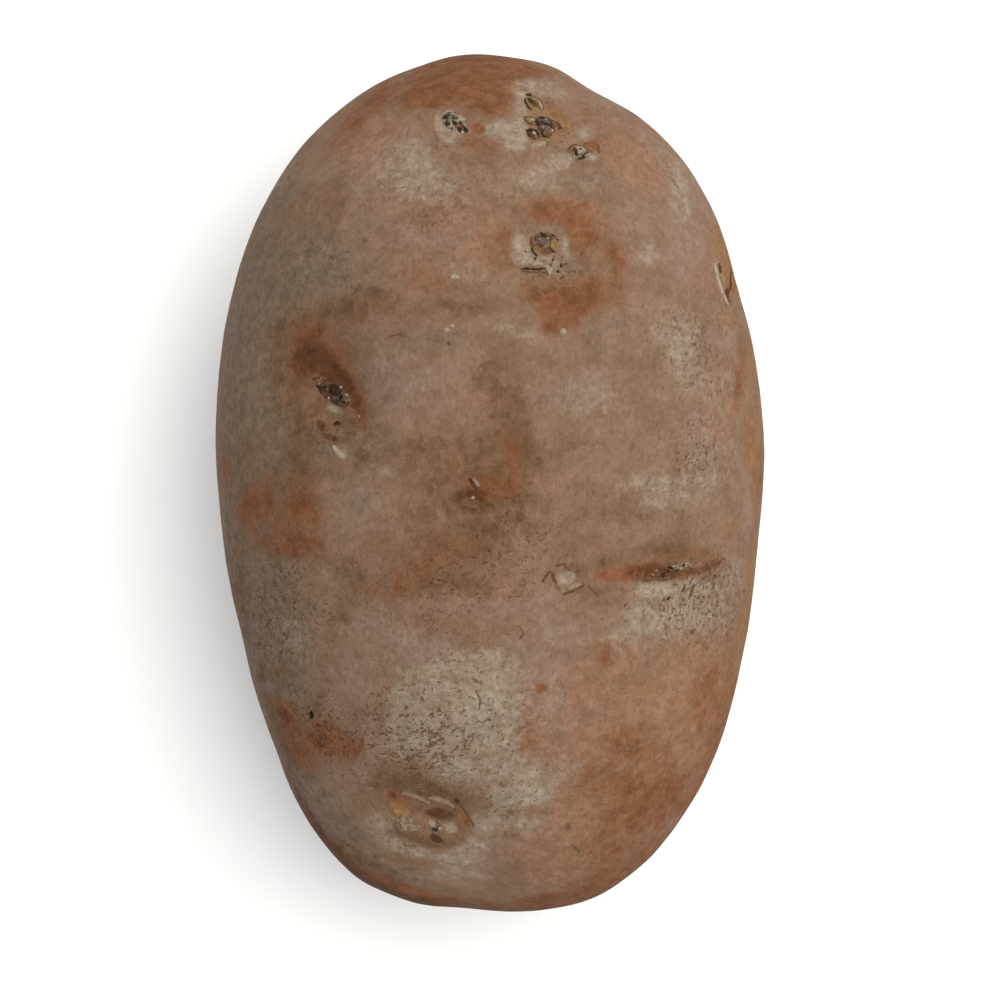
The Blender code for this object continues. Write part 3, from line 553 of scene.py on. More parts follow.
# Cracks, folds and pale ridges there: paint, points in pixels, half width, height and strength.
Stroke = namedtuple("Stroke", "paint points width height strength", defaults=[0.0, 1.0])
STROKES = {
    "ringed": [
        ("white", [(440, 110), (437, 117), (437, 126), (440, 134), (446, 140), (456, 143)], 2.6, 0.12, 0.6),
        # A painted shadow outside the ring's pale rim.
        ("umber", [(437, 108), (433, 118), (433, 128), (438, 139), (446, 146),
                   (458, 148)], 1.8, -0.08, 0.4),
    ],
    "rose_high": [
        ("soot", [(525, 97.5), (526, 102), (529, 107), (532.5, 110)], 1.2, -0.05),
        ("bark", [(533, 96), (538, 98), (542, 102), (544.5, 108), (543, 111)], 1.0, -0.03),
    ],
    "rose_main": [
        ("bark", [(524, 117), (530, 117), (538, 118)], 1.2, -0.03),
        ("bark", [(524.5, 118), (528, 122.5), (533, 124.5)], 1.3, -0.03),
        ("soot", [(553, 121), (558, 123), (561.5, 127.5), (558.5, 129.5)], 1.2, -0.03),
        ("soot", [(541, 132), (545, 137), (551, 138.5)], 1.0, -0.03),
    ],
    "rose_low": [
        ("soot", [(527, 129), (532, 129.5), (537, 132), (540.5, 137)], 1.2, -0.03),
        ("soot", [(527, 130), (529, 135), (534, 139.5)], 1.1, -0.03),
    ],
    "rose_right": [
        ("bark", [(568, 150.5), (572, 145.5), (579, 143.5)], 1.3, -0.03),
        ("bark", [(583, 147), (587, 150.8), (593, 152)], 1.1, -0.03),
    ],
    "upper": [
        ("soot", [(536, 245), (535.2, 240), (536.5, 236), (540, 233.4), (546, 232.2), (552, 233),
                  (556, 236), (559, 241)], 1.3, -0.12),
        ("soot", [(550, 246.5), (553, 250.5), (557, 251.5)], 1.3, -0.04),
        ("soot", [(531.5, 247.5), (534, 252), (538, 256)], 1.4, -0.08),
        ("amber", [(534.4, 238.5), (535, 244)], 0.9),
        ("soot", [(520.5, 268.5), (528, 267.4), (536, 267.8), (546, 267)], 1.1, -0.35),
        ("bark", [(521, 271), (530, 271.4), (540, 271.4), (549, 272)], 1.3, -0.1),
        ("white", [(534, 264.5), (542, 263), (548, 266), (551, 273)], 2.0, 0.12, 0.9),
    ],
    "deep": [
        ("dark", [(386, 337), (394, 335), (400, 334), (406, 338)], 1.8, -0.1, 0.7),
        ("dark", [(345, 432), (352, 432.5), (359, 435)], 1.2, -0.08, 0.7),
        ("umber", [(361, 447), (365, 455), (370, 462)], 2.4, 0.0, 0.7),
        ("dark", [(312, 449), (318, 452), (324, 452)], 1.1, -0.05, 0.6),
    ],
    "middle": [
        ("red", [(470, 478), (473, 485), (477, 492)], 1.7, -0.3),
        ("scurf", [(474, 478), (480, 486)], 1.5, 0.1, 0.8),
    ],
    "scar": [
        ("bark", [(556, 567), (564, 564), (571, 571)], 1.6, -0.15),
        ("bark", [(543, 583), (546, 577), (551, 571)], 1.5, -0.2),
        ("bark", [(552, 571), (554, 578), (557, 584)], 1.8, -0.2),
        ("umber", [(557, 586), (561, 592), (566, 595)], 1.4, -0.1, 0.9),
        ("bark", [(564, 595), (574, 591), (586, 585)], 1.9, -0.15),
        ("dark", [(588, 584), (593, 590), (598, 596)], 1.6, -0.1, 0.7),
    ],
    "long_brow": [
        # The first two lines run along the fold and are partly painted shade in it.
        ("dark", [(632, 579), (646, 580), (660, 579)], 1.8, -0.2, 0.6),
        ("dark", [(674, 575), (686, 573), (698, 570), (712, 568), (724, 561)], 1.8, -0.15, 0.45),
        ("dark", [(620, 597), (625, 592), (631, 590)], 1.6, -0.1, 0.6),
        ("dark", [(624, 607), (628, 602)], 1.4, -0.1, 0.6),
        ("dark", [(686, 584), (683, 592)], 1.4, -0.1, 0.7),
        ("dark", [(695, 585), (690, 598)], 1.5, -0.1, 0.7),
    ],
    "almond": [
        ("scurf", [(402, 793), (412, 795), (424, 799), (430, 802)], 2.4, 0.1, 0.5),
        ("scurf", [(429, 797), (438, 797.5), (448, 801), (455, 806)], 2.8, 0.15, 0.6),
        ("bark", [(459, 803), (466, 812), (472, 822), (477, 831)], 1.3, -0.15, 0.9),
    ],
    "rim": [
        ("chalk", [(714, 264), (717, 280), (721, 292), (727, 306)], 1.6, 0.15),
        ("red", [(732, 270), (731, 288), (727, 293), (729, 303)], 1.4, -0.25),
    ],
    "skin": [
        ("umber", [(404, 620), (408, 630), (414, 640)], 1.4, -0.05, 0.5),
        ("umber", [(570, 844), (575, 846), (580, 852)], 2.0, -0.15, 0.8),
        ("dark", [(476, 690), (481, 700), (479, 710)], 1.4, -0.12, 0.7),
        ("dark", [(469, 676), (478, 682), (484, 684)], 1.3, -0.1, 0.6),
        ("dark", [(521, 626), (524, 634), (520, 640)], 1.3, -0.1, 0.6),
        ("dark", [(488, 714), (490, 722)], 1.4, -0.1, 0.6),
        ("umber", [(350, 566), (356, 576), (352, 584)], 1.6, -0.08, 0.6),
    ],
}
STROKE_TIP = 0.35  # how wide a stroke is at its two ends, as a share of its width
COVER_AT_HALF_WIDTH = math.exp(-1)  # how strongly it covers the skin that far from its middle

# Details round an eye that the photograph doesn't show, placed and sized in half widths of its hollow,
# from its bud along the brow and down across it. The scales are the pointed ones beside the bud.
HIDDEN_EYE_MARKS = [
    ("russet", 0.0, -0.25, 1.1, 0.6, 0, 0.0, 0.8), ("dark", 0.0, -0.2, 0.6, 0.26, 0, 0.0, 0.75),
    ("scurf", 0.1, 0.62, 0.8, 0.16, 4, 0.1, 0.9), ("char", 0.0, 0.0, 0.28, 0.17, -8, 0.2),
    ("red", 0.05, 0.22, 0.34, 0.06, 6, -0.2), ("grit", 0.62, 0.15, 0.22, 0.14, 10, 0.05, 0.6),
]
HIDDEN_EYE_SCALES = [
    ("amber", -0.36, -0.02, 0.24, 0.13, -20, 0.1), ("copper", 0.38, 0.0, 0.22, 0.13, 25, 0.1),
]

# Soft patches where the photograph doesn't look: paint, how many, their least and greatest reach,
# and their strength.
HIDDEN_PATCHES = [
    ("lilac", 16, 5.0, 9.0, 0.7), ("grey", 14, 4.0, 9.0, 0.7), ("blush", 16, 5.0, 9.0, 0.8),
    ("umber", 14, 2.0, 6.0, 0.7), ("russet", 22, 3.0, 7.0, 0.9), ("scurf", 24, 3.0, 8.0, 0.8),
    ("ochre", 8, 2.0, 5.0, 0.6), ("white", 10, 1.0, 3.0, 0.8), ("rough", 18, 4.0, 9.0, 0.9),
]
HIDDEN_STRETCH = (0.6, 1.5)  # how much narrower or wider a patch may be along each axis
SEED = 7

# How the skin waves, in millimetres: the length of the waves and their height.
WAVES = [(16.0, 0.30), (6.0, 0.10), (2.2, 0.035)]
CRUMB_SIZE = 0.42  # the crumbs on the buds
CRUMB_HEIGHT = 0.22
SCALE_EDGE = 0.22  # how wide a scale's dark edge is, as a share of the scale's half width
SCALE_EDGE_STRENGTH = 0.8
FLAKE_SIZE = 1.3  # the flakes and pits of the rough patches
FLAKE_HEIGHT = 0.07
FLAKE_FRACTAL = (0.8, 2.1, 3)  # how fast their finer layers weaken, how much finer each is, how many
FAINT = 0.02  # where crumbs or flakes are fainter than this, nothing stands up

FLOOR_SIZE = 3.0  # metres
FLOOR_COLOUR = (0.93, 0.93, 0.925, 1.0)
FLOOR_ROUGHNESS = 0.9

# The light: one large square of it, in metres and watts, and a pale studio all round.
KEY_PLACE = (0.70, 0.42, 1.5)
KEY_SIZE = 1.6
KEY_POWER = 33.5
KEY_COLOUR = (1.0, 0.970, 0.915)
STUDIO_COLOUR = (0.95, 0.98, 1.0, 1.0)
STUDIO_STRENGTH = 0.78


def outline_radius(angle):
    """The outline's distance from the middle, on a smooth closed curve through its points."""
    points = np.array(OUTLINE)
    knots = np.arctan2(points[:, 1], points[:, 0])
    radii = np.hypot(points[:, 0], points[:, 1])
    order = np.argsort(knots)
    knots, radii = knots[order], radii[order]
    turn = 2 * math.pi
    knots = np.concatenate([knots[-2:] - turn, knots, knots[:3] + turn])
    radii = np.concatenate([radii[-2:], radii, radii[:3]])
    slopes = np.gradient(radii, knots)
    at = np.clip(np.searchsorted(knots, angle, side="right") - 1, 1, len(knots) - 3)
    span = knots[at + 1] - knots[at]
    t = (angle - knots[at]) / span
    return (
        radii[at] * (1 + 2 * t) * (1 - t) ** 2
        + slopes[at] * span * t * (1 - t) ** 2
        + radii[at + 1] * t * t * (3 - 2 * t)
        + slopes[at + 1] * span * t * t * (t - 1)
    )


def half_height(directions):
    """How far the body reaches up or down in these directions, before lumps and eyes."""
    return np.where(directions[:, 2] > 0, CROWN + HEAD_RISE * directions[:, 1], BELLY)


def plain_body(directions):
    """Points of the smooth body in these unit directions from its middle."""
    flat = np.hypot(directions[:, 0], directions[:, 1])
    round_about = outline_radius(np.arctan2(directions[:, 1], directions[:, 0]))
    rise = np.abs(directions[:, 2]) / half_height(directions)
    reach = ((flat / round_about) ** FULLNESS + rise**FULLNESS) ** (-1 / FULLNESS)
    return directions * reach[:, None]


def place_on_body(x, y, side):
    """The point of the smooth body over or under (x, y)."""
    share = math.hypot(x, y) / float(outline_radius(np.array([math.atan2(y, x)]))[0])
    rise = (1 - min(share, 1.0) ** FULLNESS) ** (1 / FULLNESS)
    z = side * rise * (CROWN if side == TOP else BELLY)
    for _ in range(HEIGHT_STEPS):
        toward = np.array([[x, y, z]]) / math.sqrt(x * x + y * y + z * z)
        z = side * rise * float(half_height(toward)[0])
    return np.array([x, y, z])


def axes_at(place, turn):
    """The directions along the skin that a brow runs in, and across it towards the rose end."""
    out = place / ROUGH_HALF**2
    out /= np.linalg.norm(out)
    across = np.array([0.0, 1.0, 0.0]) - out * out[1]
    across /= np.linalg.norm(across)
    along = np.cross(across, out)
    c, s = math.cos(math.radians(turn)), math.sin(math.radians(turn))
    return along * c + across * s, across * c - along * s


def lump_relief(points):
    """How far the broad swellings and dents move these points outwards."""
    moved = np.zeros(len(points))
    for lump in LUMPS:
        away = np.linalg.norm(points - place_on_body(lump.x, lump.y, lump.side), axis=1)
        moved += lump.height * np.exp(-((away / lump.reach) ** 2))
    return moved


def eye_relief(points, eye):
    """How far one eye moves these points: its hollow, the brow below it and its bud."""
    bud_place = place_on_body(eye.x, eye.y, eye.side)
    along, across = axes_at(bud_place, eye.turn)
    offset = points - bud_place
    u = (offset @ along) / (eye.width / 2)
    v = (offset @ across) / (eye.height / 2)
    hollow = -eye.depth * np.exp(-(u**2) - (v - HOLLOW_RISE) ** 2)
    from_brow = v + BROW_DROP - BROW_BEND * u**2
    brow = eye.brow * np.exp(-((from_brow / BROW_THICK) ** 2) - u**4)
    from_bud = np.hypot(offset @ along, (offset @ across) / BUD_FLATNESS) / (eye.bud_width / 2)
    bud = eye.bud_height * np.exp(-(from_bud**3))
    near = np.linalg.norm(offset, axis=1) < EYE_REACH * eye.width
    return np.where(near, hollow + brow + bud, 0.0)


def stem_scar_relief(points):
    """A small round pit with a raised rim."""
    away = np.linalg.norm(points - place_on_body(*STEM_SCAR), axis=1) / (STEM_SCAR_WIDTH / 2)
    rim = STEM_SCAR_RIM * np.exp(-(((away - STEM_SCAR_RIM_PLACE) / STEM_SCAR_RIM_WIDTH) ** 2))
    return rim - STEM_SCAR_DEPTH * np.exp(-(away**4))


def flat_height():
    """The height of the flat spot below the middle of the body."""
    return place_on_body(*FLAT_PLACE, UNDER)[2] + FLAT_DEPTH


def settled(points):
    """The belly pressed smoothly onto one plane, which the flat spot lies in."""
    above = points[:, 2] - flat_height()
    blend = (above + FLAT_BLEND) ** 2 / (4 * FLAT_BLEND)
    lifted = np.where(above < -FLAT_BLEND, 0.0, np.where(above > FLAT_BLEND, above, blend))
    settled_points = points.copy()
    settled_points[:, 2] = flat_height() + lifted
    return settled_points


def seen_from_above(points):
    """Where the camera sees these points, in the photograph's pixels."""
    scale = FRAME_PIXELS * LENS / SENSOR / (CAMERA_PLACE[2] - points[:, 2])
    x = FRAME_PIXELS / 2 + (points[:, 0] - CAMERA_PLACE[0]) * scale
    y = FRAME_PIXELS / 2 - (points[:, 1] - CAMERA_PLACE[1]) * scale
    return x, y


def smooth_step(low, high, value):
    """0 below low, 1 above high, and a smooth rise between them."""
    t = np.clip((value - low) / (high - low), 0, 1)
    return t * t * (3 - 2 * t)


def shown_share(points):
    """How much of the paint here is what the photograph shows: 1 on the back, 0 on the belly."""
    wave = np.array([noise.noise(Vector(point / SHOWN_WAVE_LENGTH)) for point in points])
    return smooth_step(*SHOWN_HEIGHTS, points[:, 2] + SHOWN_WAVE_HEIGHT * wave)


def marks(kind, table):
    """The rows of a table as marks of this kind, in their order."""
    return [kind(*row) for rows in table.values() for row in rows]


def on_mark(x, y, mark):
    """The places (x, y) along and across a mark, in half its length and half its width."""
    c, s = math.cos(math.radians(mark.turn)), math.sin(math.radians(mark.turn))
    along = ((x - mark.x) * c - (y - mark.y) * s) / mark.long
    across = ((x - mark.x) * s + (y - mark.y) * c) / mark.wide
    return along, across


def spot(x, y, mark, firmness):
    """How strongly a mark covers the places (x, y), from 0 to 1, before its strength."""
    along, across = on_mark(x, y, mark)
    return np.exp(-((along**2 + across**2) ** firmness))


def scale_spot(x, y, mark):
    """How strongly a pointed scale covers the places (x, y), and how strongly its dark edge does."""
    along, across = on_mark(x, y, mark)
    outward = along**2 + np.abs(across)
    return np.exp(-(outward**4)), np.exp(-(((outward - 1) / SCALE_EDGE) ** 2))


def line_spot(x, y, stroke):
    """How strongly a stroke covers the places (x, y); it thins out at its two ends."""
    ends = np.array(stroke.points, float)
    steps = np.hypot(*np.diff(ends, axis=0).T)
    whole = steps.sum()
    covered = np.zeros(len(x))
    run = 0.0
    for (x0, y0), (x1, y1), step in zip(ends[:-1], ends[1:], steps):
        t = np.clip(((x - x0) * (x1 - x0) + (y - y0) * (y1 - y0)) / step**2, 0, 1)
        away = np.hypot(x - x0 - t * (x1 - x0), y - y0 - t * (y1 - y0))
        share = (run + t * step) / whole
        swell = np.sqrt(np.clip(4 * share * (1 - share), 0, 1))
        width = stroke.width * (STROKE_TIP + (1 - STROKE_TIP) * swell)
        covered = np.maximum(covered, np.exp(-((away / width) ** 2)))
        run += step
    return covered


class Coat:
    """The paint on the skin's points, and the fine relief that comes with its marks."""

    def __init__(self, points, raised):
        self.points = points
        self.raised = raised
        self.shown = shown_share(points)
        names = [paint.name for paint in PAINTS] + [crust.name for crust in CRUSTS] + ["rough"]
        self.layers = {name: np.zeros(len(points)) for name in names}
        self.relief = np.zeros(len(points))

    def add(self, paint, covered):
        """Lets a soft patch of paint lie over the skin with the others."""
        self.layers[paint] = 1 - (1 - self.layers[paint]) * (1 - covered)

    def cover(self, paint, covered, height=0.0):
        """Hides what lies under a firm mark, and puts the mark there."""
        hidden = smooth_step(*FADES.get(paint, FIRM), covered)
        for layer in self.layers.values():
            layer *= 1 - hidden
        self.add(paint, covered)
        self.relief += height * covered

    def crumbly(self):
        """How strongly crumbs of any kind cover the points."""
        return np.max([self.layers[crust.name] for crust in CRUSTS], axis=0)


def paint_shown_side(coat):
    """The patches, eyes, cracks and ridges that the photograph shows."""
    x, y = seen_from_above(coat.raised)
    shown = coat.shown
    for paint, rows in PATCHES.items():
        for patch in (Patch(*row) for row in rows):
            coat.add(paint, patch.strength * shown * spot(x, y, patch, SOFT_EDGE))
    for detail in marks(Detail, DETAILS):
        covered = detail.strength * shown * spot(x, y, detail, FIRM_EDGE)
        coat.cover(detail.paint, covered, detail.height)
    for stroke in marks(Stroke, STROKES):
        coat.cover(stroke.paint, stroke.strength * shown * line_spot(x, y, stroke), stroke.height)


def paint_scale(coat, x, y, mark, near):
    """A dry scale beside a bud, with its dark edge."""
    covered, edge = scale_spot(x, y, mark)
    coat.cover(mark.paint, mark.strength * near * covered, mark.height)
    coat.cover("bark", SCALE_EDGE_STRENGTH * near * edge)


def paint_hidden_eye(coat, eye):
    """The stains, crumbs and scales of an eye that the photograph doesn't show."""
    bud_place = place_on_body(eye.x, eye.y, eye.side)
    along, across = axes_at(bud_place, eye.turn)
    offset = (coat.points - bud_place) / (eye.width / 2)
    near = np.linalg.norm(offset, axis=1) < 2 * EYE_REACH
    x, y = offset @ along, -(offset @ across)
    for mark in (Detail(*row) for row in HIDDEN_EYE_MARKS):
        coat.cover(mark.paint, near * mark.strength * spot(x, y, mark, FIRM_EDGE), mark.height)
    for mark in (Detail(*row) for row in HIDDEN_EYE_SCALES):
        paint_scale(coat, x, y, mark, near)


def paint_hidden_side(coat):
    """Patches strewn over the underside and the flanks, where the photograph doesn't look."""
    draw = np.random.default_rng(SEED)
    hidden = 1 - coat.shown
    for paint, count, least, greatest, strength in HIDDEN_PATCHES:
        for _ in range(count):
            direction = draw.normal(size=3) / ROUGH_HALF
            direction[2] = -abs(direction[2])
            place = plain_body(direction[None] / np.linalg.norm(direction))[0]
            stretch = draw.uniform(*HIDDEN_STRETCH, 3)
            away = (coat.points - place) / (draw.uniform(least, greatest) * stretch)
            coat.add(paint, strength * hidden * np.exp(-(away**2).sum(axis=1)))
    for eye in EYES:
        if eye.side == UNDER:
            paint_hidden_eye(coat, eye)


def waves(points):
    """The fine unevenness of the skin."""
    moved = np.zeros(len(points))
    for length, height in WAVES:
        for i, point in enumerate(points):
            moved[i] += height * noise.noise(Vector(point / length))
    return moved


def flakes(points, layer):
    """The flakes and pits of the rough patches."""
    moved = np.zeros(len(points))
    for i in np.flatnonzero(layer > FAINT):
        moved[i] = FLAKE_HEIGHT * layer[i] * noise.fractal(Vector(points[i] / FLAKE_SIZE), *FLAKE_FRACTAL)
    return moved


def crumbs(points, layer):
    """The dry crumbs on the buds: each stands up on its own."""
    moved = np.zeros(len(points))
    for i in np.flatnonzero(layer > FAINT):
        distances, _ = noise.voronoi(Vector(points[i] / CRUMB_SIZE))
        moved[i] = CRUMB_HEIGHT * layer[i] * (1 - distances[0] / distances[1])
    return moved


def rounded(vertices):
    """Unit directions for points of the box that the facets start from, spread evenly."""
    box = np.array([v.co for v in vertices])
    ball = np.tan(box * math.pi / 4)
    ball /= np.linalg.norm(ball, axis=1)[:, None]
    stretched = ball * ROUGH_HALF
    return stretched / np.linalg.norm(stretched, axis=1)[:, None]


def split_along(mesh, axis, count):
    """Splits every edge that runs along this axis, and is still whole, into count pieces."""
    edges = [e for e in mesh.edges if abs((e.verts[0].co - e.verts[1].co)[axis]) > BOX_SIZE / 2]
    bmesh.ops.subdivide_edges(mesh, edges=edges, cuts=count - 1, use_grid_fill=True)


def near_marks(points, reach):
    """Which points lie within this many millimetres of a firm mark on the side that shows."""
    x, y = seen_from_above(points)
    reach_shown = reach / PIXEL
    near = np.zeros(len(points), bool)
    for mark in marks(Detail, DETAILS):
        near |= np.hypot(x - mark.x, y - mark.y) < max(mark.long, mark.wide) + reach_shown
    for stroke in marks(Stroke, STROKES):
        near |= line_spot(x, y, stroke._replace(width=reach_shown)) > COVER_AT_HALF_WIDTH
    return near & (points[:, 2] > SHOWN_HEIGHTS[0])


def refine(mesh, within, reach):
    """Splits the facets that lie within this many half widths of an eye, or this near to a mark."""
    points = plain_body(rounded(mesh.verts))
    near = near_marks(points, reach)
    for eye in EYES:
        away = np.linalg.norm(points - place_on_body(eye.x, eye.y, eye.side), axis=1)
        near |= away < within[eye.side] * eye.width / 2
    mesh.verts.index_update()
    edges = [e for e in mesh.edges if near[e.verts[0].index] and near[e.verts[1].index]]
    bmesh.ops.subdivide_edges(mesh, edges=edges, cuts=1, use_grid_fill=True)


def faceted_box():
    """A box cut into fine facets, the finest of them round the eyes and the firm marks."""
    mesh = bmesh.new()
    bmesh.ops.create_cube(mesh, size=BOX_SIZE)
    for axis, count in enumerate(FACETS):
        split_along(mesh, axis, count)
    for within, reach in FINER:
        refine(mesh, within, reach)
    return mesh


def in_frame(points):
    """These points in metres, on the place of the solid that they stand for."""
    low, high = (np.array(corner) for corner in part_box("potato"))
    middle = (points.min(axis=0) + points.max(axis=0)) / 2
    middle[2] = points[:, 2].min()
    target = (low + high) / 2
    target[2] = low[2]
    return (points - middle) * MM + target


def broad_relief(body):
    """How far the forms that the solid has too move the body's points outwards."""
    relief = lump_relief(body) + stem_scar_relief(body)
    for eye in EYES:
        relief += eye_relief(body, eye)
    return relief


def fine_relief(body, coat):
    """How far the finest forms do: the marks, the skin's waves, the crumbs and the flakes."""
    standing = crumbs(body, coat.crumbly()) + flakes(body, coat.layers["rough"])
    return coat.relief + waves(body) + standing


def skin_mesh(box, points, layers):
    """The box's facets on these points, with each layer of paint as a value on every point."""
    for vertex, point in zip(box.verts, points):
        vertex.co = point
    bmesh.ops.recalc_face_normals(box, faces=box.faces)
    made = bpy.data.meshes.new("potato_visual")
    box.to_mesh(made)
    box.free()
    made.shade_smooth()
    for name, layer in layers.items():
        attribute = made.attributes.new(name, "FLOAT", "POINT")
        attribute.data.foreach_set("value", layer.astype(np.float32))
    return made


def potato_skin():
    """The potato's skin: the body with its forms, its paint and its marks."""
    box = faceted_box()
    directions = rounded(box.verts)
    body = plain_body(directions)
    relief = broad_relief(body)
    coat = Coat(body, body + directions * relief[:, None])
    paint_shown_side(coat)
    paint_hidden_side(coat)
    relief += fine_relief(body, coat)
    return skin_mesh(box, in_frame(settled(body + directions * relief[:, None])), coat.layers)


class Nodes:
    """Builds a material's node tree: each call adds one node and gives the socket that comes out."""

    def __init__(self, tree):
        self.tree = tree
        self.place = tree.nodes.new("ShaderNodeTexCoord").outputs["Object"]

    def add(self, kind, inputs, output=0, **settings):
        """A node of this kind, whose inputs are sockets to link from or plain values."""
        made = self.tree.nodes.new(kind)
        for name, value in settings.items():
            setattr(made, name, value)
        for key, value in inputs.items():
            if isinstance(value, bpy.types.NodeSocket):
                self.tree.links.new(value, made.inputs[key])
            else:
                made.inputs[key].default_value = value
        return made.outputs[output]

    def layer(self, name):
        """How strongly one layer of the coat covers the skin."""
        return self.add("ShaderNodeAttribute", {}, "Fac", attribute_name=name)

    def math(self, operation, a, b=0.0, c=0.0):
        """A calculation with sockets or numbers."""
        return self.add("ShaderNodeMath", {0: a, 1: b, 2: c}, operation=operation)

    def moved(self, offset):
        """The place on the skin, moved by this many millimetres."""
        inputs = {0: self.place, 1: Vector(offset) * MM}
        return self.add("ShaderNodeVectorMath", inputs, operation="ADD")

    def stretched(self, factors):
        """The place on the skin, with its three coordinates multiplied by these factors."""
        inputs = {0: self.place, 1: Vector(factors)}
        return self.add("ShaderNodeVectorMath", inputs, operation="MULTIPLY")

    def noise(self, kind, place=None):
        """Cloudy noise of this kind, from 0 to 1."""
        inputs = {"Vector": place or self.place, "Scale": 1 / MM / kind.size, "Detail": kind.detail}
        inputs.update({"Roughness": kind.roughness, "Distortion": kind.warp})
        return self.add("ShaderNodeTexNoise", inputs)

    def cells(self, size):
        """The distance to the nearest of scattered points, and a random value for each point."""
        inputs = {"Vector": self.place, "Scale": 1 / MM / size}
        distance = self.add("ShaderNodeTexVoronoi", inputs, "Distance")
        return distance, distance.node.outputs["Color"]

    def step(self, value, low, high):
        """0 at low, 1 at high, and a smooth rise between them."""
        inputs = {"Value": value, "From Min": low, "From Max": high}
        return self.add("ShaderNodeMapRange", inputs, interpolation_type="SMOOTHSTEP")

    def mix(self, share, first, second, blend="MIX"):
        """Two colours mixed; each is a socket or three numbers."""
        colours = [c if isinstance(c, bpy.types.NodeSocket) else (*c, 1.0) for c in (first, second)]
        inputs = {0: share, 6: colours[0], 7: colours[1]}
        return self.add("ShaderNodeMix", inputs, 2, data_type="RGBA", blend_type=blend)


def paint_share(nodes, paint, tears):
    """How much of the skin one paint covers, with its edge torn by noise."""
    torn = nodes.math("MULTIPLY_ADD", tears, TEAR_STRENGTH, 1.0)
    share = nodes.math("MULTIPLY", nodes.layer(paint.name), torn)
    share = nodes.math("MULTIPLY_ADD", tears, TEAR_SPREAD, share)
    return nodes.math("MULTIPLY", nodes.step(share, *paint.fade), paint.cover)


def paint_tone(nodes, paint):
    """One paint's colour, clouded between its darker and its lighter one."""
    clouds = nodes.noise(PAINT_CLOUDS._replace(size=paint.cloud))
    return nodes.mix(nodes.step(clouds, *CLOUD_FADE), paint.dark, paint.light)


def skin_colour(nodes):
    """The skin's paints over each other. Neighbours are torn opposite ways, so their edges differ."""
    base = nodes.step(nodes.noise(BASE_CLOUDS), *CLOUD_FADE)
    colour = nodes.mix(base, BASE_DARK, BASE_LIGHT)
    fields = {}
    for size in (BROAD, FINE, TINY):
        fields[size] = nodes.math("SUBTRACT", nodes.noise(TEARS._replace(size=size)), 0.5)
    for number, paint in enumerate(PAINTS):
        way = -1 if number % 2 else 1
        tears = nodes.math("MULTIPLY", fields[paint.tear], paint.ragged * way)
        colour = nodes.mix(paint_share(nodes, paint, tears), colour, paint_tone(nodes, paint))
    return colour


def roughness(nodes):
    """How rough the skin is with pits and flakes, in clumps."""
    clumps = nodes.math("MULTIPLY_ADD", nodes.noise(CLUMPS), CLUMP_STRENGTH, -CLUMP_STRENGTH / 2)
    return nodes.math("ADD", nodes.layer("rough"), clumps)


def pits(nodes, place=None):
    """1 in the skin's small ragged pits, which crowd where the skin is rough, and 0 around them."""
    crowded = nodes.math("MULTIPLY", roughness(nodes), PIT_CROWDING)
    field = nodes.math("SUBTRACT", nodes.noise(PITS, place), crowded)
    firm = nodes.step(nodes.layer("rough"), *PIT_FIRMNESS)
    return nodes.math("MULTIPLY", nodes.step(field, *PIT_FADE), firm)


def grained(nodes, colour):
    """The skin's mottle, and its grain, which is stronger where the skin is rough."""
    mottle = nodes.mix(nodes.step(nodes.noise(MOTTLE), *MOTTLE_FADE), *MOTTLE_TONES)
    colour = nodes.mix(MOTTLE_SHARE, colour, mottle, "OVERLAY")
    grain = nodes.mix(nodes.step(nodes.noise(GRAIN), *GRAIN_FADE), *GRAIN_TONES)
    rough = nodes.step(nodes.layer("rough"), 0.0, 1.0)
    share = nodes.math("MULTIPLY_ADD", rough, ROUGH_GRAIN_SHARE, GRAIN_SHARE)
    return nodes.mix(share, colour, grain, "OVERLAY")


def flecked(nodes, colour):
    """Pale and dark flecks, a little longer along the potato than across it."""
    flecks = nodes.noise(FLECKS, nodes.stretched(FLECK_STRETCH))
    colour = nodes.mix(nodes.step(flecks, *PALE_FLECK_FADE), colour, PALE_FLECK, "MULTIPLY")
    return nodes.mix(nodes.step(flecks, *DARK_FLECK_FADE), colour, DARK_FLECK, "MULTIPLY")


def pitted(nodes, colour):
    """Dark pits, partly darker skin and partly painted shade, each with a painted highlight on its lip
    beside it.
    """
    # A painted highlight beside each pit, then painted shade in the pit.
    pit_highlights = nodes.math("MULTIPLY", pits(nodes, nodes.moved(PIT_HIGHLIGHT_OFFSET)), PIT_HIGHLIGHT_SHARE)
    colour = nodes.mix(pit_highlights, colour, PIT_HIGHLIGHT, "MULTIPLY")
    return nodes.mix(pits(nodes), colour, PIT_SHADE, "MULTIPLY")


def crumb_colour(nodes, crust):
    """Dry crumbs, black or pale, with painted shade in the gaps between them."""
    distance, chance = nodes.cells(CRUMB_SIZE)
    pale = nodes.step(chance, crust.black_share - CRUMB_BLEND, crust.black_share + CRUMB_BLEND)
    crumb = nodes.mix(pale, BLACK_CRUMB, crust.pale)
    stain = nodes.math("MULTIPLY", nodes.step(nodes.noise(STAINS), *STAIN_FADE), STAIN_SHARE)
    crumb = nodes.mix(stain, crumb, STAIN)
    # Painted shade in the gaps between the crumbs.
    gap = nodes.math("MULTIPLY", nodes.step(distance, *GAP_FADE), GAP_SHADE_SHARE)
    return nodes.mix(gap, crumb, crust.gap)


def crusted(nodes, name):
    """Where crumbs of one kind lie, with a broken edge."""
    torn = nodes.math("MULTIPLY_ADD", nodes.noise(CRUST_TEARS), CRUST_TEAR, -CRUST_TEAR / 2)
    return nodes.step(nodes.math("ADD", nodes.layer(name), torn), *CRUST_FADE)


def crumbled(nodes, colour):
    """The dry crumbs on the buds, over the skin."""
    for crust in CRUSTS:
        colour = nodes.mix(crusted(nodes, crust.name), colour, crumb_colour(nodes, crust))
    return colour


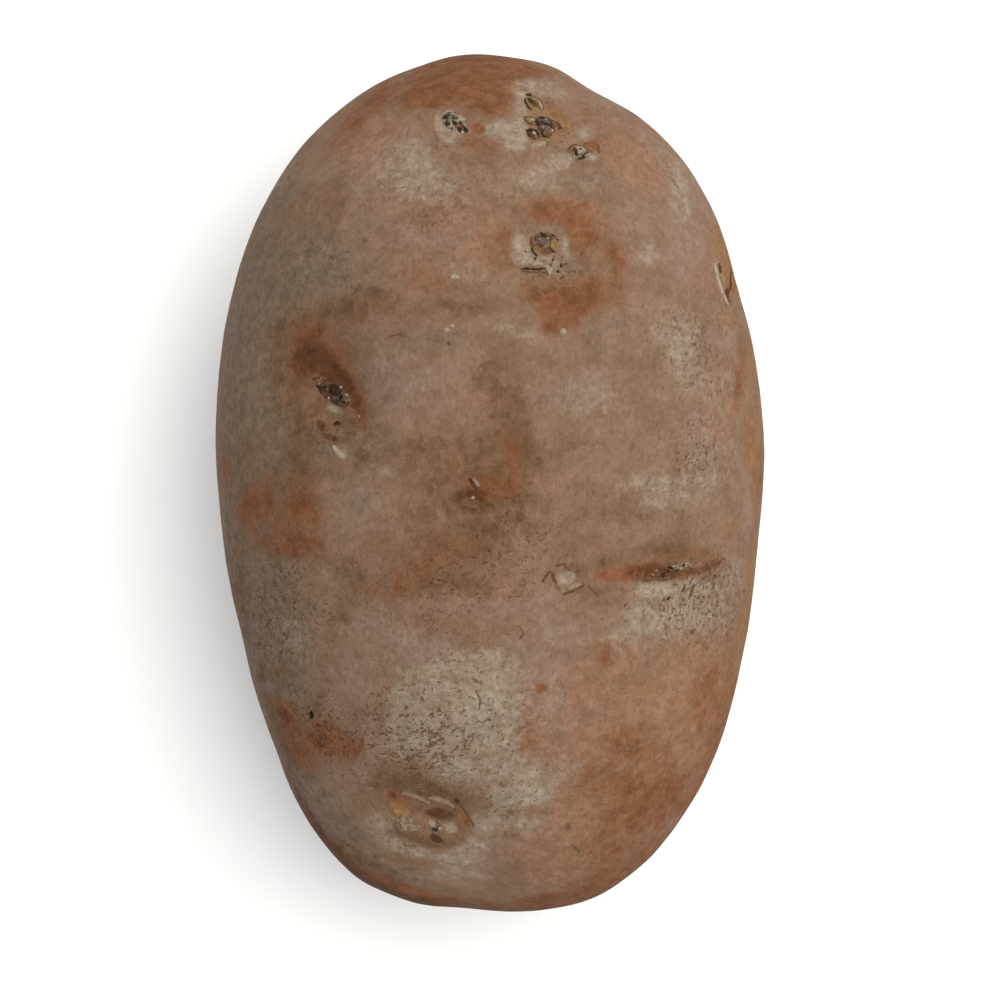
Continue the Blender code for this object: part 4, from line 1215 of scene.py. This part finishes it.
def skin_bump(nodes):
    """The finest relief: grain everywhere, pits, and flakes where the skin is rough."""
    flaky = nodes.math("ADD", nodes.layer("rough"), SMOOTH_SKIN_FLAKES)
    height = nodes.math("MULTIPLY", nodes.noise(FINE_FLAKES), flaky)
    height = nodes.math("SUBTRACT", height, nodes.math("MULTIPLY", pits(nodes), PIT_BUMP))
    height = nodes.math("ADD", height, nodes.math("MULTIPLY", nodes.noise(FINE_GRAIN), GRAIN_BUMP))
    inputs = {"Strength": BUMP_STRENGTH, "Distance": BUMP_HEIGHT * MM, "Height": height}
    return nodes.add("ShaderNodeBump", inputs, "Normal")


def skin_material():
    """Dull skin, painted, grained, pitted and crumbly."""
    material = bpy.data.materials.new("potato_skin")
    material.use_nodes = True
    nodes = Nodes(material.node_tree)
    colour = skin_colour(nodes)
    for step in (grained, flecked, pitted, crumbled):
        colour = step(nodes, colour)
    inputs = {"Value": nodes.noise(DULL_CLOUDS), "To Min": DULLNESS[0], "To Max": DULLNESS[1]}
    dullness = nodes.add("ShaderNodeMapRange", inputs)
    shader = material.node_tree.nodes["Principled BSDF"]
    for name, socket in {"Base Color": colour, "Roughness": dullness, "Normal": skin_bump(nodes)}.items():
        material.node_tree.links.new(socket, shader.inputs[name])
    shader.inputs["Specular IOR Level"].default_value = SPECULAR
    return material


def add_potato():
    """The dressed potato, in place of the solid."""
    potato = bpy.data.objects.new("potato_visual", potato_skin())
    potato.data.materials.append(skin_material())
    bpy.context.scene.collection.objects.link(potato)
    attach(potato, "root")
    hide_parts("potato")


def floor_material():
    """Pale and matt."""
    material = bpy.data.materials.new("floor")
    material.use_nodes = True
    shader = material.node_tree.nodes["Principled BSDF"]
    shader.inputs["Base Color"].default_value = FLOOR_COLOUR
    shader.inputs["Roughness"].default_value = FLOOR_ROUGHNESS
    return material


def add_floor():
    """A pale plain floor, which the potato lies on."""
    mesh = bmesh.new()
    bmesh.ops.create_grid(mesh, x_segments=1, y_segments=1, size=FLOOR_SIZE / 2)
    made = bpy.data.meshes.new("floor")
    mesh.to_mesh(made)
    mesh.free()
    made.materials.append(floor_material())
    floor = bpy.data.objects.new("floor", made)
    bpy.context.scene.collection.objects.link(floor)


def add_key_light():
    """A large soft square light, above and to the right, that faces the potato."""
    data = bpy.data.lights.new("key", "AREA")
    data.size = KEY_SIZE
    data.energy = KEY_POWER
    data.color = KEY_COLOUR
    light = bpy.data.objects.new("key", data)
    light.location = KEY_PLACE
    light.rotation_euler = Vector(KEY_PLACE).to_track_quat("Z", "Y").to_euler()
    bpy.context.scene.collection.objects.link(light)


def add_studio():
    """Pale light from all sides."""
    world = bpy.data.worlds.new("studio")
    world.use_nodes = True
    background = world.node_tree.nodes["Background"]
    background.inputs["Color"].default_value = STUDIO_COLOUR
    background.inputs["Strength"].default_value = STUDIO_STRENGTH
    bpy.context.scene.world = world


def add_camera():
    """The camera looks straight down, as the photograph does."""
    low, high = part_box("potato")
    data = bpy.data.cameras.new("camera")
    data.lens = LENS
    data.sensor_width = SENSOR
    camera = bpy.data.objects.new("camera", data)
    middle = (low + high) / 2
    middle.z = low.z - flat_height() * MM
    camera.location = middle + Vector(CAMERA_PLACE) * MM
    bpy.context.scene.collection.objects.link(camera)
    bpy.context.scene.camera = camera


bpy.context.scene.view_settings.view_transform = "Standard"
add_potato()
add_floor()
add_key_light()
add_studio()
add_camera()
